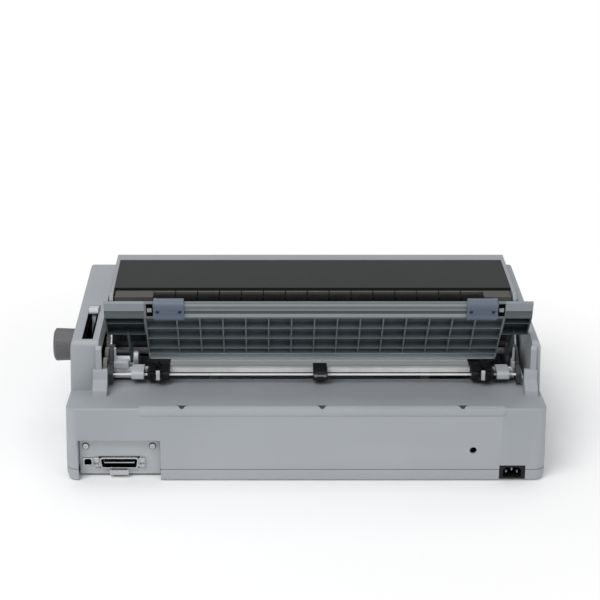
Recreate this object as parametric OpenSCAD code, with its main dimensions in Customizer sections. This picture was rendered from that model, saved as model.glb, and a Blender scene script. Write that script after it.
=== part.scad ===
// Wide-carriage dot matrix printer, seen as it stands on a desk.
// +X is the side with the platen knob, -Y the front and +Z up. The origin is on
// the desk, under the middle of the whole printer with its knob.

/* [Case] */
// Width of the case at its base
case_w = 608; // [590:1:640]
// Depth of the case from its front to its rear wall
case_d = 402; // [392:1:420]
// Height of the flat tops of the shoulders
case_h = 161.5; // [156:0.5:170]
// Thickness of the moulded walls
wall = 3; // [2.4:0.1:3.4]
// Inward lean of the side walls in degrees
side_draft = 1.5; // [1:0.1:2]
// Height of the walls' lower edge above the desk
skirt_z = 1.2; // [0.8:0.1:2]
// Height of the seam between the lower and the upper case
seam_z = 16; // [14:0.5:20]
// Radius of the case's vertical corners
corner_r = 16; // [10:1:22]
// Radius of the shoulders' top edges
shoulder_r = 7; // [4:0.5:9]
// Width of the shoulder on the knob's side
shoulder_right_w = 40; // [38:0.5:44]
// Width of the shoulder on the other side
shoulder_left_w = 15; // [13:0.5:18]
// Distance from the rear wall to the shoulders' rear faces
shoulder_setback = 70; // [66:1:76]
// Height of the rear ledge at the rear wall
ledge_rear_z = 100; // [96:0.5:104]
// Height of the rear ledge at its inner edge
ledge_inner_z = 90; // [86:0.5:93]
// Depth of the rear ledge from the rear wall to the mechanism's well
ledge_d = 116; // [112:1:120]
// Distance from the front wall to the well under the printer cover
front_band = 30; // [28:0.5:34]
// Height where the front wall starts to slope back
front_knee_z = 88; // [86:1:92]

/* [Rear details] */
// Width of the rounded paper lip along the ledge's rear edge
lip_w = 453; // [430:1:470]
// Radius of the rounded paper lip
lip_r = 7.5; // [6:0.5:9]
// Distance between the marks on the paper lip
mark_pitch = 176; // [160:1:190]
// Width of the recess for the interface sockets
recess_w = 104; // [100:1:110]
// Height of the recess for the interface sockets
recess_h = 55.5; // [50:0.5:60]
// Depth of the recess for the interface sockets
recess_d = 14; // [12:0.5:18]
// Distance from the case's side to the interface recess
recess_side = 16; // [14:0.5:20]
// Radius of the locating hole in the rear wall
locating_hole_r = 4.4; // [3:0.1:5]
// Width of the mains inlet's opening
inlet_w = 33; // [31:0.5:36]
// Height of the mains inlet's opening
inlet_h = 19; // [18:0.5:22]

/* [Covers] */
// Height of the printer cover's top above the desk
cover_z = 175; // [172:0.5:178]
// Depth of the printer cover's front band
cover_band = 29; // [26:0.5:32]
// Width of the printer cover's side arms
cover_arm_w = 5; // [4:0.5:6]
// Thickness of the smoked window
window_t = 2.4; // [2:0.1:3]
// Gap between a cover and the case round it
cover_gap = 3; // [2.4:0.1:3.4]
// Height of the front cover
front_cover_h = 60; // [54:0.5:62]
// Width of the front cover
front_cover_w = 380; // [340:1:400]

/* [Platen and knob] */
// Distance from the middle of the case back to the platen's axis
platen_y = 14; // [10:0.5:18]
// Height of the platen's axis
platen_z = 110; // [108:0.5:112]
// Radius of the platen's rubber
platen_r = 17; // [15:0.5:18]
// Length of the platen's rubber
platen_len = 430; // [420:1:440]
// Radius of the platen's shaft
platen_shaft_r = 4; // [3.5:0.1:4.5]
// Distance of the paper path's middle from the well's middle
path_shift = 7.5; // [5:0.5:9]
// Radius of the platen knob
knob_r = 23; // [20:0.5:25]
// Length of the platen knob outside the case
knob_len = 30; // [26:0.5:34]

/* [Paper feed gears] */
// Module of the paper feed gears
gear_m = 1; // [1:0.5:1]
// Width of the paper feed gears
gear_w = 5; // [4:0.5:5.5]
// Teeth of the gear on the platen shaft
platen_teeth = 40; // [40:1:40]
// Teeth of the gear on the tractor's drive shaft
tractor_teeth = 28; // [28:1:28]
// Teeth of the idler between them
idler_teeth = 37; // [37:1:38]
// Teeth of the paper feed motor's pinion
pinion_teeth = 14; // [14:1:14]
// Direction from the platen to the paper feed motor in degrees
feed_motor_angle = -60; // [-66:1:-56]

/* [Tractor] */
// Distance from the middle of the case back to the tractor's drive shaft
drive_y = 84; // [82:0.5:85]
// Height of the tractor's shafts
drive_z = 103.5; // [103:0.5:104.5]
// Side of the square drive shaft
drive_side = 6; // [5:0.5:7]
// Distance between the tractor's two shafts
tractor_pitch = 20; // [19:0.5:22]
// Radius of the tractor's round support shaft
support_r = 1.5; // [1.3:0.1:2]
// Width of one sprocket unit
sprocket_w = 28; // [24:0.5:32]
// Radius of the wheels that carry the pin belts
sprocket_wheel_r = 5.7; // [5.6:0.1:6.1]
// Distance of the sprocket unit on the knob's side from the path's middle
sprocket_right_at = 210; // [200:1:212]
// Distance of the other sprocket unit from the path's middle
sprocket_left_at = 210; // [200:1:212]

/* [Paper guide] */
// Lean of the paper guide from the horizontal in degrees
guide_lean = 50.2; // [48:0.1:52]
// Length of the paper guide from its lower edge to its tip
guide_len = 135.5; // [130:0.5:138]
// Width of the paper guide's ribbed middle
guide_w = 455; // [450:0.5:458]
// Depth of the paper guide's ribs
guide_rib_d = 10; // [9:0.5:11]
// Thickness of the paper guide's face
guide_face_t = 3; // [2.4:0.1:3.4]
// Thickness of the paper guide's ribs
guide_rib_t = 1.8; // [1.4:0.1:2.4]
// Distance between the paper guide's upright ribs
guide_rib_pitch = 29.1; // [27:0.1:32]
// Distance between the paper guide's cross ribs
guide_cross_pitch = 27.2; // [26:0.1:28]
// Distance from the middle of the case back to the paper guide's pivot
guide_y = 60; // [59:0.5:61]
// Height of the paper guide's pivot
guide_z = 117; // [116:0.5:118]
// Width of an edge guide
edge_guide_w = 38; // [34:0.5:42]

/* [Carriage] */
// Distance from the middle of the case forward to the guide shaft
guide_shaft_fwd = 60; // [58:0.5:62]
// Height of the carriage guide shaft
guide_shaft_z = 72; // [70:0.5:74]
// Radius of the carriage guide shaft
guide_shaft_r = 6; // [5:0.5:6.5]
// Distance that the carriage travels
carriage_travel = 345; // [320:1:350]
// Width of the carriage
carriage_w = 56; // [50:1:60]
// Radius of the timing belt's pulleys
pulley_r = 8; // [7:0.5:9]

/* [Buttons] */
// Diameter of a panel button
button_d = 11; // [9:0.5:12]
// Distance between the panel buttons
button_pitch = 22; // [18:0.5:24]
// Height that a button stands out of the panel
button_out = 2.2; // [2:0.1:3]

/* [Hidden] */
$fn = 48;
rear_y = case_d / 2;
front_y = -case_d / 2;
// The case's middle is moved so that the whole printer, knob included, is centred
body_x = -(knob_len + 1) / 2;
well_right = case_w / 2 - shoulder_right_w;
well_left = -(case_w / 2 - shoulder_left_w);
well_rear = rear_y - ledge_d;
well_front = front_y + front_band;
shoulder_rear = rear_y - shoulder_setback;
path_x = (well_right + well_left) / 2 - path_shift;
floor_t = 2.5;
floor_z = skirt_z + 2.8;
pan_t = 1.6;
pan_z = floor_z + floor_t + 12;
frame_t = 2;
frame_gap = 7;
frame_right = well_right - frame_gap - frame_t;
frame_left = well_left + frame_gap + frame_t;
recess_right = case_w / 2 - recess_side;
recess_left = recess_right - recess_w;
recess_y = rear_y - recess_d;
panel_t = 1.5;
// Distances of the mains inlet, the locating hole, the switch and the panel from the case's sides
inlet_side = 42.5;
hole_side = 93;
switch_side = 50;
panel_side = 99;
inlet_x = -(case_w / 2 - inlet_side);
inlet_z = skirt_z + inlet_h / 2 + 1;
inlet_d = 26;
hole_at = [-(case_w / 2 - hole_side), 42.3];
switch_at = [case_w / 2 - switch_side, front_y + 1.5, 50];
switch_w = 22;
switch_h = 14;
switch_pin_r = 1.5;
cover_rear = -2;
cover_pivot_y = cover_rear - 10;
cover_pin_r = 2.5;
cover_pivot_z = case_h - 4.5;
front_hinge_y = front_y + 5;
front_hinge_z = seam_z + 11;
front_pin_r = 2;
front_cover_t = 1.2;
front_cover_x = path_x - 75;
band_r = 4;
// Depth over which the front wall slopes back up to the shoulders' tops
slope_run = 41;
slope_a = atan2(case_h - front_knee_z, slope_run);
band_z = front_knee_z + front_band * tan(slope_a);
panel_x = case_w / 2 - panel_side;
panel_w = 150;
panel_h = 42;
panel_up = 10;
panel_proud = 0.6;
button_row = [-52, 14];
lamp_row = [-52, 31];
lamp_pitch = 13.2;
lamp_count = 6;
lamp_r = 2.4;
lever_x = well_right + 15;
lever_y = 62;
lever_z = 30;
lever_pin_r = 4;
lever_t = 6;
lever_arm = case_h - lever_z + 1.5;
lever_rest = 18;
knob_x = case_w / 2 + 1;
drive_pos = [drive_y, drive_z];
support_pos = [drive_y + tractor_pitch, drive_z + 1.2];
// Width and depth of the groove along the seam
seam_groove = 0.9;
mark_w = 9;
ledge_rib_pitch = 62;
post_z = 125;
air_slot = [4, 44];
air_slot_pitch = 9;
boss_r = 6;
foot_r = 9;
foot_inset = 40;
case_screw_r = 4;
fit = 0.05;
clear = 0.3;

case_grey = "#a4a7ab";
dark_grey = "#5a5b5d";
black = "#242527";
steel = "#b9bcc0";
white_plastic = "#c9ccd0";
green_grey = "#5f6a6b";
blue_grey = "#7088a6";

// ---- shared shapes ----

function unit(v) = v / norm(v);

// The points that round the corner b between a and c with the radius b.z
function corner(a, b, c) =
    let (p = [b.x, b.y], u = unit([a.x, a.y] - p), v = unit([c.x, c.y] - p))
    b.z <= 0 ? [p] :
    let (half = acos(u * v) / 2,
        m = p + unit(u + v) * b.z / sin(half),
        s = p + u * b.z / tan(half) - m,
        e = p + v * b.z / tan(half) - m,
        from = atan2(s.y, s.x),
        turn = (atan2(e.y, e.x) - from + 540) % 360 - 180)
    [for (i = [0:5]) m + b.z * [cos(from + turn * i / 5), sin(from + turn * i / 5)]];

// An outline through corners [x, y, radius]
module outline(pts) {
    n = len(pts);
    polygon([for (i = [0:n - 1]) each corner(pts[(i + n - 1) % n], pts[i], pts[(i + 1) % n])]);
}

module at_body() translate([body_x, 0, 0]) children();

// A profile drawn in [y, z], from x1 to x2
module along_x(x1, x2) translate([x1, 0, 0]) rotate([90, 0, 90]) linear_extrude(x2 - x1) children();

// A profile drawn in [x, z], from y1 to y2
module along_y(y1, y2) translate([0, y2, 0]) rotate([90, 0, 0]) linear_extrude(y2 - y1) children();

// The same between two places given in any order
module across(a, b) along_x(min(a, b), max(a, b)) children();

module block(lo, hi) translate(lo) cube(hi - lo);

// A round bar along X through [y, z]
module rod_x(at, r, x1, x2) translate([x1, at.x, at.y]) rotate([0, 90, 0]) cylinder(r = r, h = x2 - x1);

// A round bar along Y through [x, z]
module rod_y(at, r, y1, y2) translate([at.x, y1, at.y]) rotate([-90, 0, 0]) cylinder(r = r, h = y2 - y1);

// A spur gear across X, with a tooth pointing along +Y when phase is 0
module gear(teeth, at, x1, x2, phase = 0) {
    r = teeth * gear_m / 2;
    step = 360 / teeth;
    tooth = [[-0.29, -1.15], [-0.2, -0.1], [-0.09, 0.85], [0.09, 0.85], [0.2, -0.1], [0.29, -1.15]];
    translate([0, at.x, at.y])
        along_x(x1, x2)
            rotate(phase)
                polygon([for (i = [0:teeth - 1]) each
                    [for (t = tooth) let (a = (i + t.x) * step, q = r + t.y * gear_m)
                        q * [cos(a), sin(a)]]]);
}

// ---- case ----

function rim_x(z) = case_w / 2 - z * tan(side_draft);

// Front view of the case, inset by w
module front_form(w, z1, r)
    outline([[-rim_x(z1) + w, z1, 0], [rim_x(z1) - w, z1, 0],
        [rim_x(case_h) - w, case_h - w, r], [-rim_x(case_h) + w, case_h - w, r]]);

// Plan of the case, inset by w
module plan_form(w)
    outline([for (s = [[-1, -1], [1, -1], [1, 1], [-1, 1]])
        [s.x * (case_w / 2 - w), s.y * (case_d / 2 - w), corner_r - w]]);

// Side view of the ledge, the front band and what is below them, inset by w
module low_side(w, z1)
    outline([[front_y + w, z1, 0], [rear_y - w, z1, 0], [rear_y - w, ledge_rear_z - w, 2],
        [well_rear, ledge_inner_z - w, 0], [well_front, ledge_inner_z - w, 0],
        [well_front, band_z - w * 2.2, 0],
        [front_y + w, front_knee_z - w * 0.4, 20]]);

// Side view of a shoulder, inset by w
module shoulder_side(w, z1)
    outline([[front_y + w, z1, 0], [shoulder_rear - w, z1, 0], [shoulder_rear - w, case_h - w, shoulder_r],
        [front_y + slope_run + w * 0.6, case_h - w, band_r - w],
        [front_y + w, front_knee_z - w * 0.4, 20]]);

module case_solid(w, z1)
    intersection() {
        along_y(front_y - 1, rear_y + 1) front_form(w, z1, shoulder_r - w);
        translate([0, 0, z1]) linear_extrude(case_h) plan_form(w);
        union() {
            along_x(-case_w, case_w) low_side(w, z1);
            along_x(well_right + w, case_w) shoulder_side(w, z1);
            along_x(-case_w, well_left - w) shoulder_side(w, z1);
        }
    }

// The sloped front wall's own frame: X along the case, Y up the slope, Z out of it
module on_slope(x, up)
    translate([x, front_y, front_knee_z]) rotate([slope_a, 0, 0]) translate([0, up, 0]) children();

// Bright inner posts with flared feet that stand on the ledge behind the shoulders
module shoulder_posts() {
    for (foot = [[well_right - 10.5, 18.5], [well_left - 7.5, 16.5]])
        along_x(foot.x, foot.x + foot.y)
            outline([[shoulder_rear - 0.1, ledge_inner_z, 0], [shoulder_rear + 25, ledge_inner_z + 2, 0],
                [shoulder_rear + 21, ledge_inner_z + 13, 4], [shoulder_rear + 8, ledge_inner_z + 21, 8],
                [shoulder_rear + 5, post_z, 2], [shoulder_rear - 0.1, post_z, 0]]);
    for (x = [well_right - 3.5, well_left - 6])
        along_x(x, x + 7.5)
            outline([[shoulder_rear - 0.1, post_z - 5, 0], [shoulder_rear + 4.5, post_z - 5, 0],
                [shoulder_rear + 3, case_h - 9.5, 2], [shoulder_rear - 0.1, case_h - 5.5, 0]]);
}

module paper_lip()
    translate([path_x - lip_w / 2, rear_y - 6, ledge_rear_z - lip_r + 1]) rotate([0, 90, 0]) {
        cylinder(r = lip_r, h = lip_w);
        for (x = [0, lip_w]) translate([0, 0, x]) sphere(r = lip_r);
    }

// Dark triangular marks pressed into the paper lip
module lip_marks()
    for (i = [-1, 0, 1])
        translate([path_x + i * mark_pitch, rear_y - 8, ledge_rear_z - 1.2])
            linear_extrude(6) polygon([[-mark_w / 2, -3.5], [mark_w / 2, -3.5], [0, 4.5]]);

module recess_cut(z1)
    block([recess_left, recess_y - panel_t, z1], [recess_right, rear_y + 1, recess_h]);

module inlet_cut()
    block([inlet_x - inlet_w / 2, rear_y - inlet_d - 2, inlet_z - inlet_h / 2],
        [inlet_x + inlet_w / 2, rear_y + 1, inlet_z + inlet_h / 2]);

module front_opening()
    block([front_cover_x - front_cover_w / 2 + 4, front_y - 1, front_hinge_z - 7.5],
        [front_cover_x + front_cover_w / 2 - 4, front_y + 30, front_hinge_z + front_cover_h - 8]);

module front_cover_seat()
    block([front_cover_x - front_cover_w / 2 - 0.5, front_y - 1, front_hinge_z - 7.5],
        [front_cover_x + front_cover_w / 2 + 0.5, front_y + 1.6, front_hinge_z + front_cover_h - 4]);

module lever_slot()
    block([lever_x - 7, lever_y - 60, case_h - 12], [lever_x + 7, lever_y + 59, case_h + 1]);

// The wall behind the recess, the ribs under the ledge and the pins that the covers turn on
module case_fittings() {
    block([recess_left - wall, recess_y - panel_t - wall, seam_z],
        [recess_right + wall, rear_y - 0.5, recess_h + wall]);
    for (s = [-1, 1])
        block([front_cover_x + s * (front_cover_w / 2 - 1) - 4, front_y + 1.7, front_hinge_z - 6],
            [front_cover_x + s * (front_cover_w / 2 - 1) + 4, front_y + 12, front_hinge_z + 6]);
    switch_pin();
    for (i = [-3:3])
        block([path_x + i * ledge_rib_pitch - 1, well_rear + 4, ledge_inner_z - wall - 9],
            [path_x + i * ledge_rib_pitch + 1, rear_y - 2, ledge_inner_z - wall + 3]);
}

module switch_pin()
    rod_x([switch_at.y, switch_at.z], switch_pin_r, switch_at.x - switch_w / 2 - 3,
        switch_at.x + switch_w / 2 + 3);

// Bores and openings for the pieces that turn or sit in the case
module case_openings() {
    lever_slot();
    front_opening();
    front_cover_seat();
    rod_x([front_hinge_y, front_hinge_z], front_pin_r + fit, front_cover_x - front_cover_w / 2 - 1,
        front_cover_x + front_cover_w / 2 + 1);
    rod_x([cover_pivot_y, cover_pivot_z], cover_pin_r + fit, well_left - wall - 1, well_right + wall + 1);
    rod_x([platen_y, platen_z], platen_shaft_r + 2, well_right - 1, case_w / 2 + 2);
    // Room for the feed gears and the lever's pin inside the shoulder's inner wall
    block([well_right - 1, platen_y - 30, seam_z], [well_right + wall + 1, drive_y + 22, platen_z + 25]);
    block([gear_x - 0.6, well_rear - 1, ledge_inner_z - 4], [well_right, drive_y + 14, ledge_inner_z + 3]);
    on_slope(panel_x, panel_up)
        block([-panel_w / 2 - clear, -clear, -wall - 2], [panel_w / 2 + clear, panel_h + clear, 1]);
    difference() {
        block([switch_at.x - switch_w / 2 - 1, front_y - 1, switch_at.z - switch_h / 2 - 1],
            [switch_at.x + switch_w / 2 + 1, front_y + wall + 1, switch_at.z + switch_h / 2 + 1]);
        switch_pin();
    }
}

module upper_case() color(case_grey) at_body()
    difference() {
        union() {
            difference() {
                case_solid(0, seam_z);
                case_solid(wall, seam_z - 1);
                block([well_left, well_front, seam_z - 1], [well_right, well_rear, case_h + 1]);
                block([well_left, well_rear - 1, ledge_rear_z + 1], [well_right, rear_y, case_h + 1]);
            }
            shoulder_posts();
            paper_lip();
            case_fittings();
        }
        recess_cut(seam_z - 1);
        block([recess_left + 5, recess_y - wall - panel_t - 1, seam_z - 1],
            [recess_right - 4.5, recess_y, recess_h - 5]);
        inlet_cut();
        rod_y(hole_at, locating_hole_r, rear_y - wall - 1, rear_y + 1);
        lip_marks();
        case_openings();
    }

module pan_bosses()
    for (x = [frame_left + 22, path_x, frame_right - 22]) for (y = [-112, 40])
        translate([x, y, floor_z + 1]) cylinder(r = boss_r, h = pan_z - floor_z - 1);

module lower_tray()
    difference() {
        intersection() {
            case_solid(0, skirt_z);
            along_y(front_y - 1, rear_y + 1)
                polygon([[-rim_x(0) + 5, skirt_z], [rim_x(0) - 5, skirt_z], [rim_x(seam_z), seam_z - 7],
                    [rim_x(seam_z), seam_z], [-rim_x(seam_z), seam_z], [-rim_x(seam_z), seam_z - 7]]);
        }
        difference() {
            translate([0, 0, -1]) linear_extrude(seam_z + 2) plan_form(wall);
            block([-case_w / 2, front_y, floor_z], [case_w / 2, rear_y, floor_z + floor_t]);
        }
        recess_cut(-1);
        inlet_cut();
        translate([0, 0, seam_z - seam_groove]) linear_extrude(2) difference() {
            square([case_w + 2, case_d + 2], center = true);
            plan_form(seam_groove);
        }
        // Air slots in the floor
        for (i = [0:11]) for (side = [-1, 1])
            translate([path_x + side * 150 + (i - 5.5) * air_slot_pitch, 60, -1])
                linear_extrude(seam_z) square(air_slot, center = true);
    }

module lower_case() color(case_grey) at_body() {
    lower_tray();
    pan_bosses();
}

module feet() color(black) at_body()
    for (x = [-1, 1]) for (y = [-1, 1])
        translate([x * (case_w / 2 - foot_inset), y * (case_d / 2 - foot_inset), 0])
            cylinder(r = foot_r, h = floor_z - 0.02);

module screw_y(at, y, r) translate([at.x, y, at.y]) rotate([-90, 0, 0])
    difference() {
        cylinder(r = r, h = 1.6);
        for (a = [0, 90]) rotate(a) block([-r * 0.6, -0.45, 0.8], [r * 0.6, 0.45, 2]);
    }

// Screws driven up through the floor into the upper case
module case_screws()
    for (x = [-1, 1]) for (y = [-70, 90])
        translate([x * (case_w / 2 - 25), y, floor_z - 1.62]) difference() {
            cylinder(r = case_screw_r, h = 1.6);
            for (a = [0, 90])
                rotate(a) block([-case_screw_r * 0.6, -0.5, -0.5], [case_screw_r * 0.6, 0.5, 0.8]);
        }

// ---- rear interface and mains inlet ----

usb_at = [recess_right - 11, 20];
usb_half = [6.2, 5.2];
port_at = [recess_right - 51, 19.5];
port_w = 46;
port_h = 15;
port_rim = 1.5;
port_depth = 14;
contact_pitch = 2.16;
contacts = 18;
tongue_h = 1.7;
clip_x = port_w / 2 + 6;
clip_at = [recess_y + 3.2, port_at.y - 3];
clip_half = 3.4;
clip_h = 9;
wire_r = 0.8;
tab_half = 12;
tab_z = [4.5, 11];
screw_x = [recess_right - 9, recess_left + 10.5];
screw_z = 42;
screw_r = 1.6;
screw_head_r = 3.4;

module interface_panel() color("#b4b7ba") at_body()
    difference() {
        union() {
            block([recess_left + 1, recess_y - panel_t + 0.02, skirt_z + 1.8],
                [recess_right - 1, recess_y - 0.02, recess_h - 1.5]);
            // Folded lower tab that stands out of the panel
            difference() {
                block([port_at.x - tab_half, recess_y - 0.5, tab_z[0]],
                    [port_at.x + tab_half, recess_y + 7, tab_z[1]]);
                block([port_at.x - tab_half + 2, recess_y - 1, tab_z[0] + 2],
                    [port_at.x + tab_half - 2, recess_y + 6, tab_z[1] + 1]);
            }
        }
        block([usb_at.x - usb_half.x - clear, recess_y - 3, usb_at.y - usb_half.y - clear],
            [usb_at.x + usb_half.x + clear, recess_y + 1, usb_at.y + usb_half.y + clear]);
        block([port_at.x - port_w / 2 - 3, recess_y - 3, port_at.y - port_h / 2 - 0.5],
            [port_at.x + port_w / 2 + 3, recess_y + 1, port_at.y + port_h / 2 + 0.5]);
        for (x = screw_x) rod_y([x, screw_z], screw_r + 0.1, recess_y - 3, recess_y + 1);
    }

module interface_screws()
    for (x = screw_x) {
        screw_y([x, screw_z], recess_y, screw_head_r);
        rod_y([x, screw_z], screw_r, recess_y - 6, recess_y + 0.1);
    }

module screws() color(steel) at_body() {
    case_screws();
    interface_screws();
}

module usb_socket() color(steel) at_body()
    difference() {
        block([usb_at.x - usb_half.x, recess_y - 18, usb_at.y - usb_half.y],
            [usb_at.x + usb_half.x, recess_y + 1, usb_at.y + usb_half.y]);
        translate([usb_at.x, 0, usb_at.y]) along_y(recess_y - 10, recess_y + 2)
            polygon([[-4.6, -4], [4.6, -4], [4.6, 2], [2.8, 4], [-2.8, 4], [-4.6, 2]]);
    }

// The socket's front outline, inset by w
module port_form(w)
    translate(port_at)
        outline([[-port_w / 2 + w, -port_h / 2 + w, 3 - w / 2], [port_w / 2 - w, -port_h / 2 + w, 3 - w / 2],
            [port_w / 2 + 2 - w, port_h / 2 - w, 3 - w / 2],
            [-port_w / 2 - 2 + w, port_h / 2 - w, 3 - w / 2]]);

// A 36-way socket with its middle tongue and a row of contacts on each side
module parallel_connector() color(steel) at_body() {
    difference() {
        union() {
            along_y(recess_y - port_depth, recess_y + 4) port_form(0);
            block([port_at.x - clip_x - 3, recess_y + 0.02, port_at.y - 6],
                [port_at.x + clip_x + 3, recess_y + 1.4, port_at.y + 6]);
        }
        along_y(recess_y - port_depth + 4, recess_y + 5) port_form(port_rim);
    }
    difference() {
        block([port_at.x - port_w / 2 + 4, recess_y - port_depth + 3, port_at.y - tongue_h],
            [port_at.x + port_w / 2 - 4, recess_y + 2, port_at.y + tongue_h]);
        for (i = [0:contacts - 1]) for (s = [-1, 1])
            translate([port_at.x + (i - (contacts - 1) / 2) * contact_pitch, recess_y, port_at.y])
                translate([0, 0, s * tongue_h]) cube([1, 16, 1], center = true);
    }
    for (s = [-1, 1]) clip_seat(port_at.x + s * clip_x);
}

// Forked ear that a wire clip turns in
module clip_seat(x) difference() {
    block([x - 2.4, clip_at.x - 1.9, clip_at.y - 2], [x + 2.4, clip_at.x + 1.8, clip_at.y + 1.8]);
    rod_x(clip_at, wire_r + fit, x - 3, x + 3);
    block([x - 1, clip_at.x - 1.9, clip_at.y - 3], [x + 1, clip_at.x + 3, clip_at.y + 3]);
}

// A bent wire bail beside the socket, on its little hinge
module wire_clip(x) color(steel) at_body() {
    for (h = [0, clip_h]) rod_x(clip_at + [0, h], wire_r, x - clip_half, x + clip_half);
    for (s = [-clip_half, clip_half]) {
        translate([x + s, clip_at.x, clip_at.y]) cylinder(r = wire_r, h = clip_h);
        for (h = [0, clip_h]) translate([x + s, clip_at.x, clip_at.y + h]) sphere(r = wire_r);
    }
}
module wire_clip_right() wire_clip(port_at.x + clip_x);
module wire_clip_left() wire_clip(port_at.x - clip_x);

// Mains inlet with its three blades in a flared cavity
module mains_inlet() color(black) at_body() {
    difference() {
        block([inlet_x - inlet_w / 2 + 0.1, rear_y - inlet_d, inlet_z - inlet_h / 2 + 0.1],
            [inlet_x + inlet_w / 2 - 0.1, rear_y - 0.5, inlet_z + inlet_h / 2 - 0.1]);
        translate([inlet_x, 0, inlet_z]) along_y(rear_y - inlet_d + 7, rear_y)
            outline([[-11.5, -7, 1.5], [11.5, -7, 1.5], [11.5, 2.5, 1.5], [7.5, 7, 1.5], [-7.5, 7, 1.5],
                [-11.5, 2.5, 1.5]]);
    }
    for (p = [[-7, -1.6], [0, 1.8], [7, -1.6]])
        block([inlet_x + p.x - 1, rear_y - inlet_d + 6, inlet_z + p.y - 2],
            [inlet_x + p.x + 1, rear_y - 6, inlet_z + p.y + 2]);
}

// ---- front controls ----

module power_switch() color(black) at_body()
    translate(switch_at) rotate([90, 0, 0]) difference() {
        union() {
            rotate([0, 90, 0]) cylinder(r = switch_h / 2, h = switch_w, center = true);
            translate([0, 0, -5]) cube([switch_w, switch_h - 2, 8], center = true);
        }
        for (s = [-1, 1])
            translate([0, s * switch_h / 2, 10]) rotate([s * 20, 0, 0])
                cube([switch_w + 2, switch_h, 12], center = true);
        rotate([0, 90, 0]) cylinder(r = switch_pin_r + fit, h = switch_w + 8, center = true);
    }

module control_panel() color("#b9bcbf") at_body()
    on_slope(panel_x, panel_up) difference() {
        block([-panel_w / 2, 0, -wall], [panel_w / 2, panel_h, panel_proud]);
        for (i = [0:3])
            translate([button_row.x + i * button_pitch, button_row.y, -wall - 1])
                cylinder(r = button_d / 2 + clear, h = wall + 3);
        for (i = [0:lamp_count - 1])
            translate([lamp_row.x + i * lamp_pitch, lamp_row.y, -wall - 1])
                cylinder(r = lamp_r + 0.1, h = wall + 3);
    }

module button(i) color("#85888c") at_body()
    on_slope(panel_x, panel_up) translate([button_row.x + i * button_pitch, button_row.y, 0]) difference() {
        union() {
            translate([0, 0, -2 * wall]) cylinder(r = button_d / 2, h = 2 * wall + panel_proud + button_out);
            translate([0, 0, -2 * wall]) cylinder(r = button_d / 2 + 1, h = wall - 0.6);
        }
        translate([0, 0, panel_proud + button_out + dish_r - 0.6]) sphere(r = dish_r, $fn = 64);
    }
dish_r = 24.6;
module button_1() button(0);
module button_2() button(1);
module button_3() button(2);
module button_4() button(3);

module panel_lamps() color("#6ea86a") at_body()
    on_slope(panel_x, panel_up) for (i = [0:lamp_count - 1])
        translate([lamp_row.x + i * lamp_pitch, lamp_row.y, -wall])
            cylinder(r = lamp_r, h = wall + panel_proud + 0.3);

module front_cover() color(case_grey) at_body() {
    half = front_cover_w / 2;
    difference() {
        block([front_cover_x - half, front_y + 0.1, front_hinge_z - 4.5],
            [front_cover_x + half, front_y + 0.1 + front_cover_t, front_hinge_z + front_cover_h - 4.5]);
        translate([front_cover_x, front_y, front_hinge_z + front_cover_h - 12])
            rotate([90, 0, 0]) cylinder(r = 5, h = 1, center = true);
        // Notches over the case's hinge blocks
        for (s = [-1, 1]) translate([front_cover_x + s * half, front_y, front_hinge_z])
            cube([12.4, 4, 14], center = true);
    }
    // Stiffening rim and hinge ears behind the plate
    for (s = [-1, 1]) block([front_cover_x + s * (half - 8.5) - 2, front_y + 1.2, front_hinge_z - 2.6],
        [front_cover_x + s * (half - 8.5) + 2, front_y + 7.6, front_hinge_z + front_cover_h - 14]);
    block([front_cover_x - half + 10, front_y + 1.2, front_hinge_z + front_cover_h - 16],
        [front_cover_x + half - 10, front_y + 4.5, front_hinge_z + front_cover_h - 13]);
    for (s = [-1, 1]) rod_x([front_hinge_y, front_hinge_z], front_pin_r, front_cover_x + s * (half - 5) - 3.5,
        front_cover_x + s * (half - 5) + 3.5);
}

// ---- printer cover and paper tension unit ----

cover_right = well_right - cover_gap;
cover_left = well_left + cover_gap;
cover_front = well_front + 1.2;
cover_corner_r = 8;

module cover_frame() color("#9a9c9f") at_body() {
    difference() {
        intersection() {
            along_x(cover_left, cover_right)
                outline([[cover_front, band_z + 4, 1], [cover_front, cover_z - 4, 3],
                    [cover_front + 7, cover_z, 6], [cover_rear - 6, cover_z, 3],
                    [cover_rear, cover_z - 8, 3], [cover_pivot_y + 6, cover_pivot_z - 6, 5],
                    [cover_pivot_y - 6, cover_pivot_z - 6, 5], [cover_front + 44, case_h - 8, 1],
                    [cover_front + 12, band_z + 4, 6]]);
            linear_extrude(case_d)
                outline([[cover_left, cover_front, cover_corner_r],
                    [cover_right, cover_front, cover_corner_r],
                    [cover_right, rear_y, 0], [cover_left, rear_y, 0]]);
        }
        along_x(cover_left + cover_arm_w, cover_right - cover_arm_w)
            outline([[cover_front + 3, 0, 0], [cover_front + 3, cover_z - 5, 2],
                [cover_front + 8, cover_z - 3, 2], [cover_rear + 9, cover_z - 3, 0], [cover_rear + 9, 0, 0]]);
        block([cover_left + cover_arm_w, cover_front + cover_band, cover_z - 6],
            [cover_right - cover_arm_w, cover_rear + 5, cover_z + 1]);
    }
    rod_x([cover_pivot_y, cover_pivot_z], cover_pin_r, cover_right - 1, well_right + wall - 0.4);
    rod_x([cover_pivot_y, cover_pivot_z], cover_pin_r, well_left - wall + 0.4, cover_left + 1);
}

window_rear = -30;
module cover_window() color([0.2, 0.2, 0.21, 0.6]) at_body() {
    block([cover_left + cover_arm_w + 0.02, cover_front + cover_band + 0.02, cover_z - window_t - 0.4],
        [cover_right - cover_arm_w - 0.02, window_rear, cover_z - 0.4]);
    // Down-turned rear edge that the paper runs over
    block([cover_left + cover_arm_w + 4, window_rear - 2, cover_z - 6],
        [cover_right - cover_arm_w - 4, window_rear, cover_z - 2]);
}

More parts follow.
